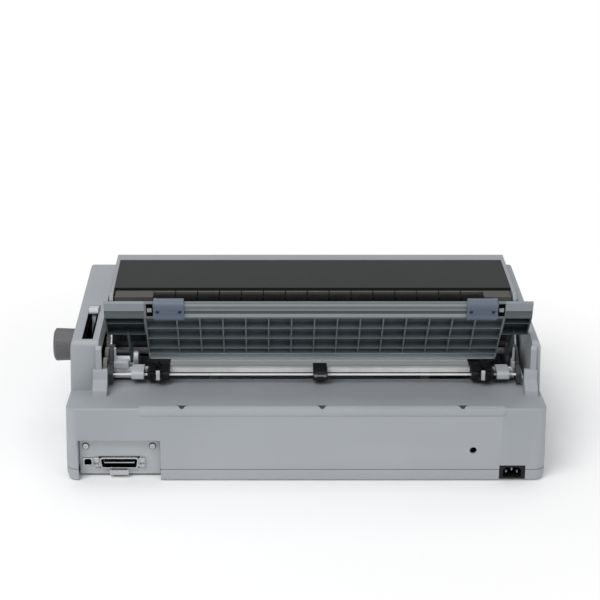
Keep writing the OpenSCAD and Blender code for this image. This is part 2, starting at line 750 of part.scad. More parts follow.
roller_pitch = 29.6;
roller_half = 13.8;
roller_r = 5.8;
row_half = 7 * roller_pitch + roller_half + 1;
roller_pin_r = 2.5;
trough_z = cover_z - 16.5;
leg_z = 140;
roller_y = -12;
roller_z = cover_z - 9.5;
unit_right = cover_right - cover_arm_w - 2.5;
unit_left = cover_left + cover_arm_w + 2.5;
module tension_unit() color("#3a3b3d") at_body() {
    difference() {
        along_x(unit_left, unit_right)
            outline([[window_rear + 4, trough_z - 3.5, 2], [-1, trough_z - 3.5, 2], [-1, cover_z - 11, 2],
                [-5, cover_z - 11, 1], [-5, trough_z, 1], [roller_y - 8.5, trough_z, 1],
                [roller_y - 8.5, cover_z - 2.6, 1], [window_rear + 4, cover_z - 2.6, 2]]);
        // Slits in the wall ahead of the rollers, between one roller and the next
        for (i = [-7.5:7.5])
            block([path_x + i * roller_pitch - 0.6, window_rear + 3, trough_z + 6],
                [path_x + i * roller_pitch + 0.6, roller_y - 8, cover_z]);
    }
    difference() {
        union() {
            for (x = [unit_left, unit_right - 3])
                block([x, window_rear + 4.5, leg_z], [x + 3, -1.2, cover_z - 4]);
            for (cap = [[unit_left, path_x - row_half], [path_x + row_half, unit_right]])
                block([cap[0], window_rear + 4.2, trough_z - 1], [cap[1], -1.4, cover_z - 3]);
        }
        rod_x([roller_y, roller_z], roller_pin_r + fit, unit_left - 1, unit_right + 1);
    }
}

module tension_rollers() color("#35302c") at_body() {
    rod_x([roller_y, roller_z], roller_pin_r, unit_left + 0.2, unit_right - 0.2);
    for (i = [-7:7]) difference() {
        rod_x([roller_y, roller_z], roller_r, path_x + i * roller_pitch - roller_half,
            path_x + i * roller_pitch + roller_half);
        for (s = [-6, 0, 6])
            translate([path_x + i * roller_pitch + s, roller_y, roller_z]) rotate([0, 90, 0]) difference() {
                cylinder(r = roller_r + 1, h = 1, center = true);
                cylinder(r = roller_r - 0.6, h = 2, center = true);
            }
    }
}

// ---- paper guide ----

guide_right = path_x + guide_w / 2 - 3.5;
guide_left = guide_right - guide_w;
wing_right = frame_right - 0.4;
wing_left = well_left + 3.7;
wing_u = 69;
wing_cross = [wing_u, 98];
lip_u = 112;
body_u = 16;
arm_out = 246;
arm_t = 3;
arm_hub_r = 13;
guide_pin_r = 4;
first_rib = 40.6;
guide_slots = [26, 38];
fence_h = 4.5;
bracket_t = 6;
edge_right_at = 192.8;
edge_left_at = 201.4;

// The paper guide's own frame: Y along its face to the tip, Z out of the paper side
module on_guide() translate([0, guide_y, guide_z]) rotate([guide_lean, 0, 0]) children();

// Section through the guide's thickened tip
module tip_section()
    outline([[lip_u, -guide_rib_d, 0], [lip_u + 3, -guide_rib_d, 2], [guide_len - 1, -1, 1.5],
        [guide_len, guide_face_t, 1.5], [lip_u, guide_face_t, 0]]);

module guide_panel(x1, x2, u1, cross) {
    block([x1, u1, 0], [x2, lip_u + 1, guide_face_t]);
    along_x(x1, x2) tip_section();
    for (x = [x1, x2 - guide_rib_t]) block([x, u1, -guide_rib_d], [x + guide_rib_t, lip_u + 1, 0.5]);
    for (u = cross) block([x1, u, -guide_rib_d], [x2, u + guide_rib_t, 0.5]);
}

module paper_guide() color(green_grey) at_body() on_guide() {
    difference() {
        union() {
            guide_panel(guide_left, guide_right, 0,
                [0, body_u, for (i = [0:2]) 30.3 + i * guide_cross_pitch]);
            for (x = [guide_right - first_rib : -guide_rib_pitch : guide_left + guide_rib_pitch * 0.6])
                block([x - guide_rib_t / 2, body_u, -guide_rib_d + 1], [x + guide_rib_t / 2, lip_u + 1, 0.5]);
        }
        for (x = [-1, 1]) for (g = guide_slots)
            translate([path_x + x * (guide_w / 2 - g) - 5, 20, -2]) cube([10, 5, 8]);
        // Groove on the paper side that the edge guides run along
        block([guide_left + 6, lip_u - 12, guide_face_t - 1], [guide_right - 6, lip_u - 9, guide_face_t + 1]);
    }
    guide_panel(guide_right - 0.5, wing_right, wing_u, wing_cross);
    guide_panel(wing_left, guide_left + 0.5, wing_u, wing_cross);
    for (s = [-1, 1]) {
        x = path_x + s * (arm_out + arm_t / 2) - arm_t / 2;
        // Pin that turns in the bracket's plate
        across(x, s > 0 ? frame_right - 1 : frame_left + 1) circle(r = guide_pin_r);
        translate([x, 0, 0]) {
            along_x(0, arm_t)
                outline([[-5, -9, 3], [wing_u + 4, -9, 0], [wing_u + 4, 1, 0], [10, 4, 6], [-5, 9, 3]]);
            rotate([0, 90, 0]) cylinder(r = arm_hub_r, h = arm_t);
        }
    }
}

// A clip that wraps the guide's tip, with a fence for the paper's edge
module edge_guide(x, side) color(blue_grey) at_body() on_guide() {
    g = clear + 0.1;
    difference() {
        along_x(x - edge_guide_w / 2, x + edge_guide_w / 2)
            outline([[lip_u - 14, guide_face_t + g, 1], [lip_u - 14, guide_face_t + 3, 1],
                [guide_len + 1.8, guide_face_t + 3.5, 3], [guide_len + 1.8, -3.6, 4],
                [lip_u + 6, -guide_rib_d - 3.4, 2], [lip_u + 1.5, -guide_rib_d - 3.4, 1],
                [lip_u + 1.5, -guide_rib_d - g, 0]]);
        along_x(x - edge_guide_w, x + edge_guide_w)
            outline([[0, -guide_rib_d - g, 0], [lip_u + 3, -guide_rib_d - g, 0], [guide_len - 0.6, -1.4, 0],
                [guide_len + g, guide_face_t + g, 0], [0, guide_face_t + g, 0]]);
        for (s = [-1, 1]) translate([x + s * 14, guide_len - 9, -8.6]) sphere(r = 2.4, $fn = 24);
    }
    fence = x + side * (edge_guide_w / 2 - 2);
    block([fence - 1.2, lip_u - 13, guide_face_t + 0.5],
        [fence + 1.2, guide_len - 1, guide_face_t + fence_h]);
}
module edge_guide_right() edge_guide(path_x + edge_right_at, 1);
module edge_guide_left() edge_guide(path_x - edge_left_at, -1);

// ---- paper release lever ----

module release_lever() color(white_plastic) at_body()
    translate([lever_x, lever_y, lever_z]) rotate([lever_rest, 0, 0]) {
        difference() {
            union() {
                rod_x([0, 0], lever_pin_r + 5, -lever_t / 2, lever_t / 2);
                along_x(-lever_t / 2, lever_t / 2)
                    outline([[-7, 0, 0], [7, 0, 0], [5, lever_arm, 1], [-5, lever_arm, 1]]);
            }
            rod_x([0, 0], lever_pin_r + fit, -lever_t, lever_t);
        }
        along_x(-6.2, 6.2)
            outline([[-14, lever_arm, 3], [13, lever_arm, 3], [11, lever_arm + 8, 4],
                [-13, lever_arm + 11, 4]]);
    }

// ---- platen, knob and feed gears ----

platen_pos = [platen_y, platen_z];
mesh_gap = 0.15;
idler_r1 = (platen_teeth + idler_teeth) * gear_m / 2 + mesh_gap;
idler_r2 = (idler_teeth + tractor_teeth) * gear_m / 2 + mesh_gap;
drive_d = norm(drive_pos - platen_pos);
drive_dir = unit(drive_pos - platen_pos);
idler_a = (drive_d * drive_d + idler_r1 * idler_r1 - idler_r2 * idler_r2) / (2 * drive_d);
idler_pos = platen_pos + drive_dir * idler_a
    + [drive_dir.y, -drive_dir.x] * sqrt(idler_r1 * idler_r1 - idler_a * idler_a);
motor_pos = platen_pos + ((platen_teeth + pinion_teeth) * gear_m / 2 + mesh_gap)
    * [cos(feed_motor_angle), sin(feed_motor_angle)];
gear_x = frame_right + frame_t + 1;
function heading(a, b) = atan2(b.y - a.y, b.x - a.x);
// Phase of a gear that meshes at the angle dir with one of teeth za and phase pa
function mesh_phase(za, pa, dir, zb) = dir + 180 + 180 / zb - (pa - dir) * za / zb;
idler_phase = mesh_phase(platen_teeth, 0, heading(platen_pos, idler_pos), idler_teeth);
tractor_phase = mesh_phase(idler_teeth, idler_phase, heading(idler_pos, drive_pos), tractor_teeth);
pinion_phase = mesh_phase(platen_teeth, 0, feed_motor_angle, pinion_teeth);
journal_r = 3.5;
stud_r = 3;
motor_shaft_r = 2.5;
motor_r = 21;
motor_len = 32;
flute_step = 15;

module platen() color("#2c2c2e") at_body() {
    rod_x(platen_pos, platen_shaft_r, frame_left - frame_t - 2, knob_x + knob_len - 8);
    difference() {
        rod_x(platen_pos, platen_r, path_x - platen_len / 2, path_x + platen_len / 2);
        rod_x(platen_pos, platen_shaft_r, path_x - platen_len, path_x + platen_len);
    }
}

module platen_knob() color(dark_grey) at_body()
    translate([knob_x, platen_y, platen_z]) rotate([0, 90, 0]) difference() {
        rotate_extrude($fn = 96)
            outline([[0, 0, 0], [knob_r - 2, 0, 1], [knob_r - 1, knob_len - 3, 2.5],
                [knob_r - 6, knob_len, 2],
                [knob_r - 9, knob_len - 2, 1], [0, knob_len - 2, 0]]);
        translate([0, 0, -1]) cylinder(r = platen_shaft_r + 0.02, h = knob_len - 7);
        for (a = [0:flute_step:360 - flute_step])
            rotate(a) translate([knob_r + 0.4, 0, 5]) rotate(45) translate([-1.5, -1.5, 0])
                cube([3, 3, knob_len]);
    }

module platen_gear() color("#d8d6cc") at_body() difference() {
    gear(platen_teeth, platen_pos, gear_x, gear_x + gear_w);
    rod_x(platen_pos, platen_shaft_r + 0.02, gear_x - 1, gear_x + gear_w + 1);
    for (a = [0:60:300]) rod_x(platen_pos + 11 * [cos(a), sin(a)], 3.4, gear_x - 1, gear_x + gear_w + 1);
}

module idler_gear() color("#cfcdc2") at_body() difference() {
    gear(idler_teeth, idler_pos, gear_x, gear_x + gear_w, idler_phase);
    rod_x(idler_pos, stud_r + fit, gear_x - 1, gear_x + gear_w + 1);
    for (a = [0:60:300]) rod_x(idler_pos + 10 * [cos(a), sin(a)], 3.2, gear_x - 1, gear_x + gear_w + 1);
}

module feed_pinion() color("#c8a860") at_body() {
    difference() {
        gear(pinion_teeth, motor_pos, gear_x, gear_x + gear_w, pinion_phase);
        rod_x(motor_pos, motor_shaft_r, gear_x - 1, gear_x + gear_w + 1);
    }
    rod_x(motor_pos, motor_shaft_r, frame_right - 30, gear_x + gear_w + 0.5);
}

module feed_motor() color("#8e9196") at_body() difference() {
    union() {
        rod_x(motor_pos, motor_r, frame_right - 2 - motor_len, frame_right - 2);
        along_x(frame_right - 2, frame_right - 0.02)
            translate(motor_pos) square([2 * motor_r + 4, 34], center = true);
    }
    rod_x(motor_pos, motor_shaft_r + fit, frame_right - 32, frame_right + 1);
    for (x = [frame_right - 24, frame_right - 13]) translate([x, motor_pos.x, motor_pos.y]) rotate([0, 90, 0])
        difference() {
            cylinder(r = motor_r + 2, h = 1.2);
            cylinder(r = motor_r - 0.8, h = 1.2);
        }
}

// ---- tractor ----

unit_rim = 2;
pin_pitch = 12.7;
flap_z = drive_z + 9.2;
lock_at = [support_pos.x + 12.5, drive_z + 0.5];
unit_pin_r = 1;
sleeve_reach = 17;
sleeve_r = 6.5;
module drive_shaft() color(steel) at_body() {
    half = arm_out - sleeve_reach - 1;
    translate([path_x, drive_y, drive_z]) cube([2 * half, drive_side, drive_side], center = true);
    rod_x(drive_pos, journal_r, path_x + half - 0.5, gear_x + gear_w + 0.5);
    rod_x(drive_pos, journal_r, frame_left - frame_t, path_x - half + 0.5);
}

module tractor_gear() color("#d8d6cc") at_body() difference() {
    gear(tractor_teeth, drive_pos, gear_x, gear_x + gear_w, tractor_phase);
    rod_x(drive_pos, journal_r + 0.02, gear_x - 1, gear_x + gear_w + 1);
}

module support_shaft() color(steel) at_body()
    rod_x(support_pos, support_r, frame_left + 2, frame_right - 2);

// A round-ended plate round both tractor shafts, cut back over the ledge
module tractor_outline(r)
    outline([[drive_y - r, drive_z - r, r - 0.1], [support_pos.x - 2, drive_z - r, r * 0.6],
        [support_pos.x + r, drive_z - r * 0.45, r * 0.4], [support_pos.x + r, drive_z + r, r * 0.6],
        [drive_y - r, drive_z + r, r - 0.1]]);

module sprocket_unit(c, side) color(black) at_body() {
    w = sprocket_w / 2;
    belt_r = sprocket_wheel_r + 1.4;
    ear = c + side * (w - unit_rim);
    difference() {
        along_x(c - w, c + w) tractor_outline(belt_r + 0.6);
        // Chamber for the wheel and its belt, open at the top
        along_x(c - 5, c + 5) tractor_outline(belt_r - 0.01);
        block([c - 5, drive_y - 8, drive_z], [c + 5, support_pos.x + 8, drive_z + 20]);
        rod_x(drive_pos, 5 + fit, c - w - 1, c + w + 1);
        rod_x(support_pos, support_r + fit, c - w - 1, c + w + 1);
    }
    // Pin belt
    difference() {
        along_x(c - 4, c + 4) tractor_outline(belt_r - 0.02);
        along_x(c - 5, c + 5) tractor_outline(sprocket_wheel_r + clear);
    }
    for (i = [-1, 0, 1]) translate([c, drive_y + tractor_pitch / 2 + i * pin_pitch, drive_z + belt_r - 0.3])
        cylinder(r1 = 1.8, r2 = 1, h = 3.2, $fn = 24);
    // Guide web under the belt
    difference() {
        block([c - 4, support_pos.x - 5, drive_z - 3], [c + 4, support_pos.x + 5, drive_z + 6]);
        rod_x(support_pos, support_r + fit, c - 5, c + 5);
    }
    // Ears that carry the flap's pin and the lock lever
    for (e = [[drive_y + 1, 6], [drive_y + 27, 2.5]]) difference() {
        block([ear - 2, e.x, drive_z + e.y], [ear + 2, e.x + 3, flap_z + 1.8]);
        rod_y([ear, flap_z], unit_pin_r + fit, e.x - 1, e.x + 4);
    }
    for (s = [-1, 1]) difference() {
        block([c + s * 4 - 1, support_pos.x + 5, lock_at.y - 3],
            [c + s * 4 + 1, lock_at.x + 2.5, lock_at.y + 3]);
        rod_x(lock_at, unit_pin_r + fit, c + s * 4 - 2, c + s * 4 + 2);
    }
}
module sprocket_unit_right() sprocket_unit(path_x + sprocket_right_at, 1);
module sprocket_unit_left() sprocket_unit(path_x - sprocket_left_at, -1);

module sprocket_wheel(c) color("#46474a") at_body() difference() {
    union() {
        rod_x(drive_pos, sprocket_wheel_r, c - 4, c + 4);
        rod_x(drive_pos, 5, c - sprocket_w / 2, c + sprocket_w / 2);
    }
    translate([c, drive_y, drive_z])
        cube([sprocket_w * 2, drive_side + 2 * fit, drive_side + 2 * fit], center = true);
}
module sprocket_wheel_right() sprocket_wheel(path_x + sprocket_right_at);
module sprocket_wheel_left() sprocket_wheel(path_x - sprocket_left_at);

// Paper hold-down flap over the pins
module sprocket_cover(c, side) color("#2f3033") at_body() {
    inner = c - side * 9;
    hinge = c + side * (sprocket_w / 2 - unit_rim);
    difference() {
        block([min(inner, hinge), drive_y + 4.4, flap_z - 0.4],
            [max(inner, hinge), drive_y + 26.6, flap_z + 1]);
        block([c - 3, drive_y + 6.5, flap_z - 2], [c + 3, drive_y + 24.5, flap_z + 3]);
    }
    rod_y([hinge, flap_z], unit_pin_r, drive_y + 1.2, drive_y + 29.8);
    rod_y([hinge, flap_z], unit_pin_r + 0.3, drive_y + 4.4, drive_y + 26.6);
}
module sprocket_cover_right() sprocket_cover(path_x + sprocket_right_at, 1);
module sprocket_cover_left() sprocket_cover(path_x - sprocket_left_at, -1);

module lock_lever(c) color(white_plastic) at_body() {
    rod_x(lock_at, unit_pin_r, c - 5, c + 5);
    along_x(c - 2.4, c + 2.4) translate(lock_at)
        outline([[-2, -2, 1.5], [2, -2, 1.5], [3, 11, 1.5], [-0.5, 12, 1]]);
}
module lock_lever_right() lock_lever(path_x + sprocket_right_at);
module lock_lever_left() lock_lever(path_x - sprocket_left_at);

module centre_support() color(black) at_body() difference() {
    along_x(path_x - 9, path_x + 9) tractor_outline(8.4);
    rod_x(drive_pos, drive_side * 0.7072 + 0.3, path_x - 10, path_x + 10);
    rod_x(support_pos, support_r + fit, path_x - 10, path_x + 10);
    block([path_x - 6, drive_y + 7, drive_z - 12], [path_x + 6, drive_y + 14, drive_z + 5]);
}

// A bearing plate on the side frame, with the blocks that stand on its inner face
module end_bracket(face, s) difference() {
    arm = path_x + s * (arm_out + arm_t + 1);
    union() {
        across(face - s * 0.02, face - s * bracket_t)
            outline([[guide_y - 7, drive_z - 9.5, 3], [support_pos.x + 8, drive_z - 9.5, 3],
                [support_pos.x + 8, drive_z + 7, 4], [drive_y + 10, drive_z + 9, 6],
                [guide_y + 14, guide_z + 10, 6], [guide_y - 6, guide_z + 11, 6],
                [guide_y - 9, guide_z + 1, 5]]);
        // Block over the drive shaft, with a thin post on it
        across(arm, face - s) outline([[drive_y - 5, drive_z + 4, 1], [drive_y + 8, drive_z + 4, 1],
            [drive_y + 8, drive_z + 13, 2], [drive_y - 5, drive_z + 14, 2]]);
        across(face - s * 5, face - s * 9) translate([drive_y, drive_z + 20]) square([5, 20], center = true);
        // Beam under the shaft, out to the sleeve beside the sprocket unit
        across(path_x + s * (arm_out - 2), face - s)
            outline([[drive_y - 5, drive_z - 9, 1], [drive_y + 8, drive_z - 9, 1],
                [drive_y + 8, drive_z - 2, 1], [drive_y - 5, drive_z - 2, 1]]);
        across(path_x + s * (arm_out - sleeve_reach), path_x + s * (arm_out - 1)) tractor_outline(sleeve_r);
    }
    rod_x(drive_pos, journal_r + fit, -case_w, case_w);
    rod_x(support_pos, support_r + fit, -case_w, case_w);
    rod_x([guide_y, guide_z], guide_pin_r + fit, -case_w, case_w);
}

module end_brackets() color(white_plastic) at_body() {
    end_bracket(frame_right, 1);
    end_bracket(frame_left, -1);
}

// ---- frames ----

frame_front = well_front + 43;
frame_rear = 118;
frame_z = pan_z + pan_t;
shaft_y = -guide_shaft_fwd;
service_hole_r = 12;
pan_slot = [54, 34];
chute_t = 1.2;
chute_gap = 3;

module side_frame(x1) difference() {
    along_x(x1, x1 + frame_t)
        outline([[frame_front, frame_z, 0], [frame_rear, frame_z, 0], [frame_rear, ledge_inner_z - 10, 2],
            // Notch round the case's ledge
            [well_rear - 1.5, ledge_inner_z - 10, 3], [well_rear - 1.5, ledge_inner_z + 4, 3],
            [frame_rear, ledge_inner_z + 6, 2], [frame_rear, guide_z - 9, 4],
            [guide_y - 14, guide_z - 9, 6], [guide_y - 14, guide_z - 1, 6], [24, leg_z + 2, 6],
            [-2, leg_z + 5, 4], [-26, leg_z + 5, 4], [shaft_y - 6, 118, 12], [frame_front, 112, 6]]);
    rod_x(platen_pos, platen_shaft_r + fit, x1 - 1, x1 + frame_t + 1);
    rod_x([shaft_y, guide_shaft_z], guide_shaft_r + 0.02, x1 - 1, x1 + frame_t + 1);
    rod_x(drive_pos, journal_r + fit, x1 - 1, x1 + frame_t + 1);
    rod_x(motor_pos, motor_shaft_r + 4, x1 - 1, x1 + frame_t + 1);
    rod_x([shaft_y - 36, 45], service_hole_r, x1 - 1, x1 + frame_t + 1);
    along_x(x1 - 1, x1 + frame_t + 1) outline([[44, 36, 4], [104, 36, 4], [104, 74, 4], [70, 74, 4]]);
}

module side_frames() color("#8d9094") at_body() {
    side_frame(frame_right);
    side_frame(frame_left - frame_t);
    // Bent tabs that the tension unit stands on
    block([unit_right - 4, -24, leg_z - 2.2], [frame_right + 0.5, -4, leg_z - 0.2]);
    block([frame_left - 0.5, -24, leg_z - 2.2], [unit_left + 4, -4, leg_z - 0.2]);
    rod_x(idler_pos, stud_r, frame_right + 1, gear_x + gear_w + 0.8);
    rod_x([lever_y, lever_z], lever_pin_r, frame_right + 1, lever_x + lever_t / 2 + 1);
}

module base_frame() color("#9b9ea2") at_body() difference() {
    union() {
        block([frame_left - frame_t, frame_front, pan_z],
            [frame_right + frame_t, frame_rear, frame_z - 0.02]);
        for (y = [frame_front, frame_rear - pan_t])
            block([frame_left, y, pan_z], [frame_right, y + pan_t, pan_z + 10]);
    }
    for (x = [-2:2]) for (y = [-60, 20])
        translate([path_x + x * 92, y, pan_z - 1]) linear_extrude(4) square(pan_slot, center = true);
    translate([frame_left + 30, -84, pan_z - 1]) cylinder(r = 14, h = 4);
}

// Sheet that carries the paper from the tractor down and round under the platen
module paper_chute() color("#a9aeae") at_body() {
    inner = platen_r + chute_gap;
    from = -28;
    to = -150;
    angles = [for (i = [0:12]) from + (to - from) * i / 12];
    rear = [drive_y - 8.7, drive_z - 2];
    along_x(path_x - platen_len / 2 + 18, path_x + platen_len / 2 - 18)
        polygon([rear, for (a = angles) platen_pos + inner * [cos(a), sin(a)],
            for (i = [12:-1:0]) platen_pos + (inner + chute_t) * [cos(angles[i]), sin(angles[i])],
            rear - [0, chute_t]]);
    for (s = [-1, 1])
        block([path_x + s * 140 - 6, drive_y - 30, frame_z],
            [path_x + s * 140 + 6, drive_y - 27, drive_z - 3]);
}

// ---- carriage ----

carriage_x = path_x - carriage_travel / 2;
rail_y = shaft_y - 46;
rail_z = guide_shaft_z + 24;
deck_z = guide_shaft_z + 12;
belt_y = shaft_y - 24;
belt_z = guide_shaft_z - 16;
belt_h = 6;
belt_t = 1.4;
pulley_pin_r = 1.5;
flange_t = 0.8;
carriage_motor_r = 21;
carriage_motor_h = 30;
fin_count = 8;
fin_pitch = 4.35;
head_half = 16;
nose_half = 6;
motor_x = frame_left + 30;
idler_x = frame_right - 25;
head_gap = 2.6;
head_y = platen_y - platen_r - head_gap;

module guide_shaft() color(steel) at_body()
    rod_x([shaft_y, guide_shaft_z], guide_shaft_r, frame_left - frame_t, frame_right + frame_t);

module carriage_rail() color("#a4a7aa") at_body() {
    block([frame_left + 0.02, rail_y - 1, frame_z + 10], [frame_right - 0.02, rail_y + 1, rail_z]);
    for (x = [frame_left + 0.02, frame_right - 2.02])
        block([x, rail_y - 10, frame_z + 10], [x + 2, rail_y + 1, rail_z]);
}

module carriage() color("#3b3c3e") at_body() {
    w = carriage_w / 2;
    difference() {
        union() {
            along_x(carriage_x - w, carriage_x + w)
                outline([[shaft_y - 36, guide_shaft_z - 6, 2], [shaft_y - 12, guide_shaft_z - 9, 2],
                    [shaft_y + 10, guide_shaft_z - 9, 4], [shaft_y + 16, guide_shaft_z, 4],
                    [shaft_y + 16, deck_z, 2], [shaft_y - 36, deck_z, 2]]);
            // Fork over the front rail
            block([carriage_x - 12, rail_y - 4, rail_z + 0.4], [carriage_x + 12, shaft_y - 30, rail_z + 4]);
            block([carriage_x - 12, rail_y - 4, rail_z - 8], [carriage_x + 12, rail_y - 1.4, rail_z + 4]);
            block([carriage_x - 12, rail_y + 1.4, guide_shaft_z - 2],
                [carriage_x + 12, rail_y + 12, rail_z + 4]);
            // Clamp that holds the timing belt
            block([carriage_x - 8, belt_y + pulley_r - 2, belt_z - 1],
                [carriage_x + 8, belt_y + pulley_r + 4, guide_shaft_z - 2]);
        }
        rod_x([shaft_y, guide_shaft_z], guide_shaft_r + fit, carriage_x - w - 1, carriage_x + w + 1);
        block([carriage_x - 9, belt_y + pulley_r - clear, belt_z - 2],
            [carriage_x + 9, belt_y + pulley_r + belt_t + clear, belt_z + belt_h + clear]);
        block([carriage_x - w + 6, shaft_y - 30, deck_z - 4], [carriage_x + w - 6, shaft_y - 10, deck_z + 6]);
    }
}

// Print head: a finned heat sink behind a narrow nose that faces the platen
module print_head() color("#9a9da0") at_body() {
    base_z = deck_z + 8;
    block([carriage_x - head_half, shaft_y - 14, deck_z + 0.02],
        [carriage_x + head_half, shaft_y + 34, base_z]);
    for (i = [0:fin_count - 1])
        block([carriage_x - head_half + i * fin_pitch, shaft_y - 12, base_z],
            [carriage_x - head_half + 1.5 + i * fin_pitch, shaft_y + 26, base_z + 30]);
    block([carriage_x - head_half + 2, shaft_y - 4, base_z],
        [carriage_x + head_half - 2, shaft_y + 22, base_z + 24]);
    along_x(carriage_x - head_half + 2, carriage_x + head_half - 2)
        outline([[shaft_y + 20, base_z, 0], [head_y - 10, base_z + 4, 2], [head_y - 6, base_z + 10, 1],
            [head_y - 6, base_z + 26, 1], [shaft_y + 20, base_z + 30, 2]]);
    block([carriage_x - nose_half, head_y - 7, platen_z - 7], [carriage_x + nose_half, head_y, platen_z + 7]);
}

cart_right = frame_right - 14;
cart_left = frame_left + 14;
cart_arm = 22;
cart_y = frame_front + 4;
cart_d = 34;
cart_z = [113, 132];
cart_foot = 6;
ribbon_half = 6;
ribbon_knob_at = [cart_left + 11, cart_y + cart_d / 2];
ribbon_pin_r = 4;
module ribbon_cartridge() color(black) at_body() {
    difference() {
        union() {
            along_x(cart_left, cart_right)
                outline([[cart_y, cart_z[0], 3], [cart_y + cart_d, cart_z[0], 2],
                    [cart_y + cart_d, cart_z[1], 3], [cart_y, cart_z[1], 5]]);
            for (x = [cart_left, cart_right - cart_arm]) along_x(x, x + cart_arm)
                outline([[cart_y + cart_d - 4, cart_z[0], 0], [head_y - 34.4, platen_z - 10, 6],
                    [head_y - 1, platen_z - 8, 2], [head_y + 1.2, platen_z - 6, 1],
                    [head_y + 1.2, platen_z + 8, 1], [head_y - 34.4, platen_z + 16, 8],
                    [cart_y + cart_d - 4, cart_z[1], 0]]);
        }
        for (x = [cart_left + 30 : 30 : cart_right - 30])
            block([x - 10, cart_y + 8, cart_z[1] - 1], [x + 10, cart_y + 28, cart_z[1] + 1]);
        translate([ribbon_knob_at.x, ribbon_knob_at.y, cart_z[0] + 7])
            cylinder(r = ribbon_pin_r + fit, h = 20);
    }
    // Ribbon between the arms, just in front of the platen
    block([cart_left + cart_arm - 0.5, head_y + 0.3, platen_z - ribbon_half],
        [cart_right - cart_arm + 0.5, head_y + 0.5, platen_z + ribbon_half]);
    // Feet that stand on the side of the frame's cross rail
    for (x = [cart_left + cart_foot, cart_right - 2 * cart_foot])
        block([x, rail_y - 9, rail_z + 0.02], [x + cart_foot, rail_y + 1, cart_z[0] + 1]);
}

module ribbon_knob() color("#4a4b4e") at_body() translate([ribbon_knob_at.x, ribbon_knob_at.y, cart_z[1]]) {
    translate([0, 0, -11]) cylinder(r = ribbon_pin_r, h = 14);
    difference() {
        translate([0, 0, 0.6]) cylinder(r = 9, h = 7);
        for (a = [0:45:315]) rotate(a) translate([10, 0, -2]) cylinder(r = 2, h = 12);
    }
}

// A flat loop round both pulleys
module belt_loop(r) {
    translate([motor_x, belt_y]) circle(r = r);
    translate([idler_x, belt_y]) circle(r = r);
    translate([motor_x, belt_y - r]) square([idler_x - motor_x, 2 * r]);
}

module timing_belt() color(black) at_body() translate([0, 0, belt_z]) linear_extrude(belt_h) difference() {
    belt_loop(pulley_r + belt_t);
    belt_loop(pulley_r + 0.1);
}

module pulley(x, z2) {
    translate([x, belt_y, belt_z + 0.2]) cylinder(r = pulley_r - clear, h = belt_h - 0.4);
    for (z = [belt_z - flange_t - 0.2, belt_z + belt_h + 0.2])
        translate([x, belt_y, z]) cylinder(r = pulley_r + 2.4, h = flange_t);
    translate([x, belt_y, z2]) cylinder(r = motor_shaft_r, h = belt_z + belt_h + 2 - z2);
}
module motor_pulley() color("#c8c6bc") at_body() pulley(motor_x, frame_z + 14);
module idler_pulley() color("#c8c6bc") at_body() difference() {
    pulley(idler_x, belt_z - 1);
    translate([idler_x, belt_y, 0]) cylinder(r = pulley_pin_r + fit, h = guide_shaft_z + 20);
}

// Motor below the belt, and the post of the idler at the other end
module carriage_motor() color("#8e9196") at_body() {
    difference() {
        union() {
            translate([motor_x, belt_y, frame_z]) cylinder(r = carriage_motor_r, h = carriage_motor_h);
            translate([motor_x, belt_y, frame_z + carriage_motor_h - 0.2]) cylinder(r = 9, h = 2.6);
        }
        translate([motor_x, belt_y, frame_z + 13]) cylinder(r = motor_shaft_r + fit, h = 30);
        for (z = [6, 22]) translate([motor_x, belt_y, frame_z + z]) difference() {
            cylinder(r = carriage_motor_r + 2, h = 1.2);
            cylinder(r = carriage_motor_r - 0.8, h = 1.2);
        }
    }
    translate([idler_x, belt_y, frame_z]) cylinder(r = 6, h = belt_z - frame_z - 1.4);
    translate([idler_x, belt_y, frame_z]) cylinder(r = pulley_pin_r, h = belt_z + belt_h + 3 - frame_z);
}

// ---- electronics ----

board_right = recess_right - 2;
board_w = 170;
board_t = 1.6;
pillar_h = 3;
board_z = floor_z + floor_t + pillar_h;
board_front = frame_rear + 6;
// Chips and sockets on the board: [x, y] of a corner, then size
chips = [[[-130, 10], [30, 24, 4]], [[-84, 6], [20, 20, 3]], [[-84, 36], [26, 8, 4]],
    [[-40, 4], [24, 10, 3]], [[-150, 44], [34, 6, 9]]];
supply_size = [120, 34];

module main_board() color("#2f5d3f") at_body() {
    pillars = [for (x = [6, board_w - 6]) for (y = [board_front + 6, recess_y - 10]) [board_right - x, y]];
    difference() {
        block([board_right - board_w, board_front, board_z], [board_right, recess_y - 4, board_z + board_t]);
        for (p = pillars) translate([p.x, p.y, board_z - 1]) cylinder(r = 1.7, h = 4);
    }
    for (p = pillars)
        translate([p.x, p.y, board_z - pillar_h + 0.02]) cylinder(r = 4, h = pillar_h);
    for (c = chips)
        translate([board_right + c[0].x, board_front + c[0].y, board_z + board_t]) cube(c[1]);
}

module power_supply() color("#7f8468") at_body() {
    z = floor_z + floor_t + 0.02;
    x = -case_w / 2 + 20;
    difference() {
        block([x, board_front, z], [x + supply_size.x, rear_y - inlet_d - 6, z + supply_size.y]);
        block([x + 2, board_front + 2, z + 2],
            [x + supply_size.x - 2, rear_y - inlet_d - 8, z + supply_size.y + 2]);
    }
    block([x + 12, board_front + 8, z + 2], [x + 46, board_front + 34, z + 30]);
    for (i = [0:2]) translate([x + 62 + i * 20, board_front + 16, z + 2]) cylinder(r = 8, h = 28);
}
lower_case();
upper_case();
feet();
screws();
interface_panel();
usb_socket();
parallel_connector();
wire_clip_right();
wire_clip_left();
mains_inlet();
power_switch();
control_panel();
button_1();
button_2();
button_3();
button_4();
panel_lamps();
front_cover();
cover_frame();
cover_window();
tension_unit();
tension_rollers();
paper_guide();
edge_guide_right();
edge_guide_left();
release_lever();
platen();
platen_knob();
platen_gear();
idler_gear();
feed_pinion();
feed_motor();
drive_shaft();
tractor_gear();
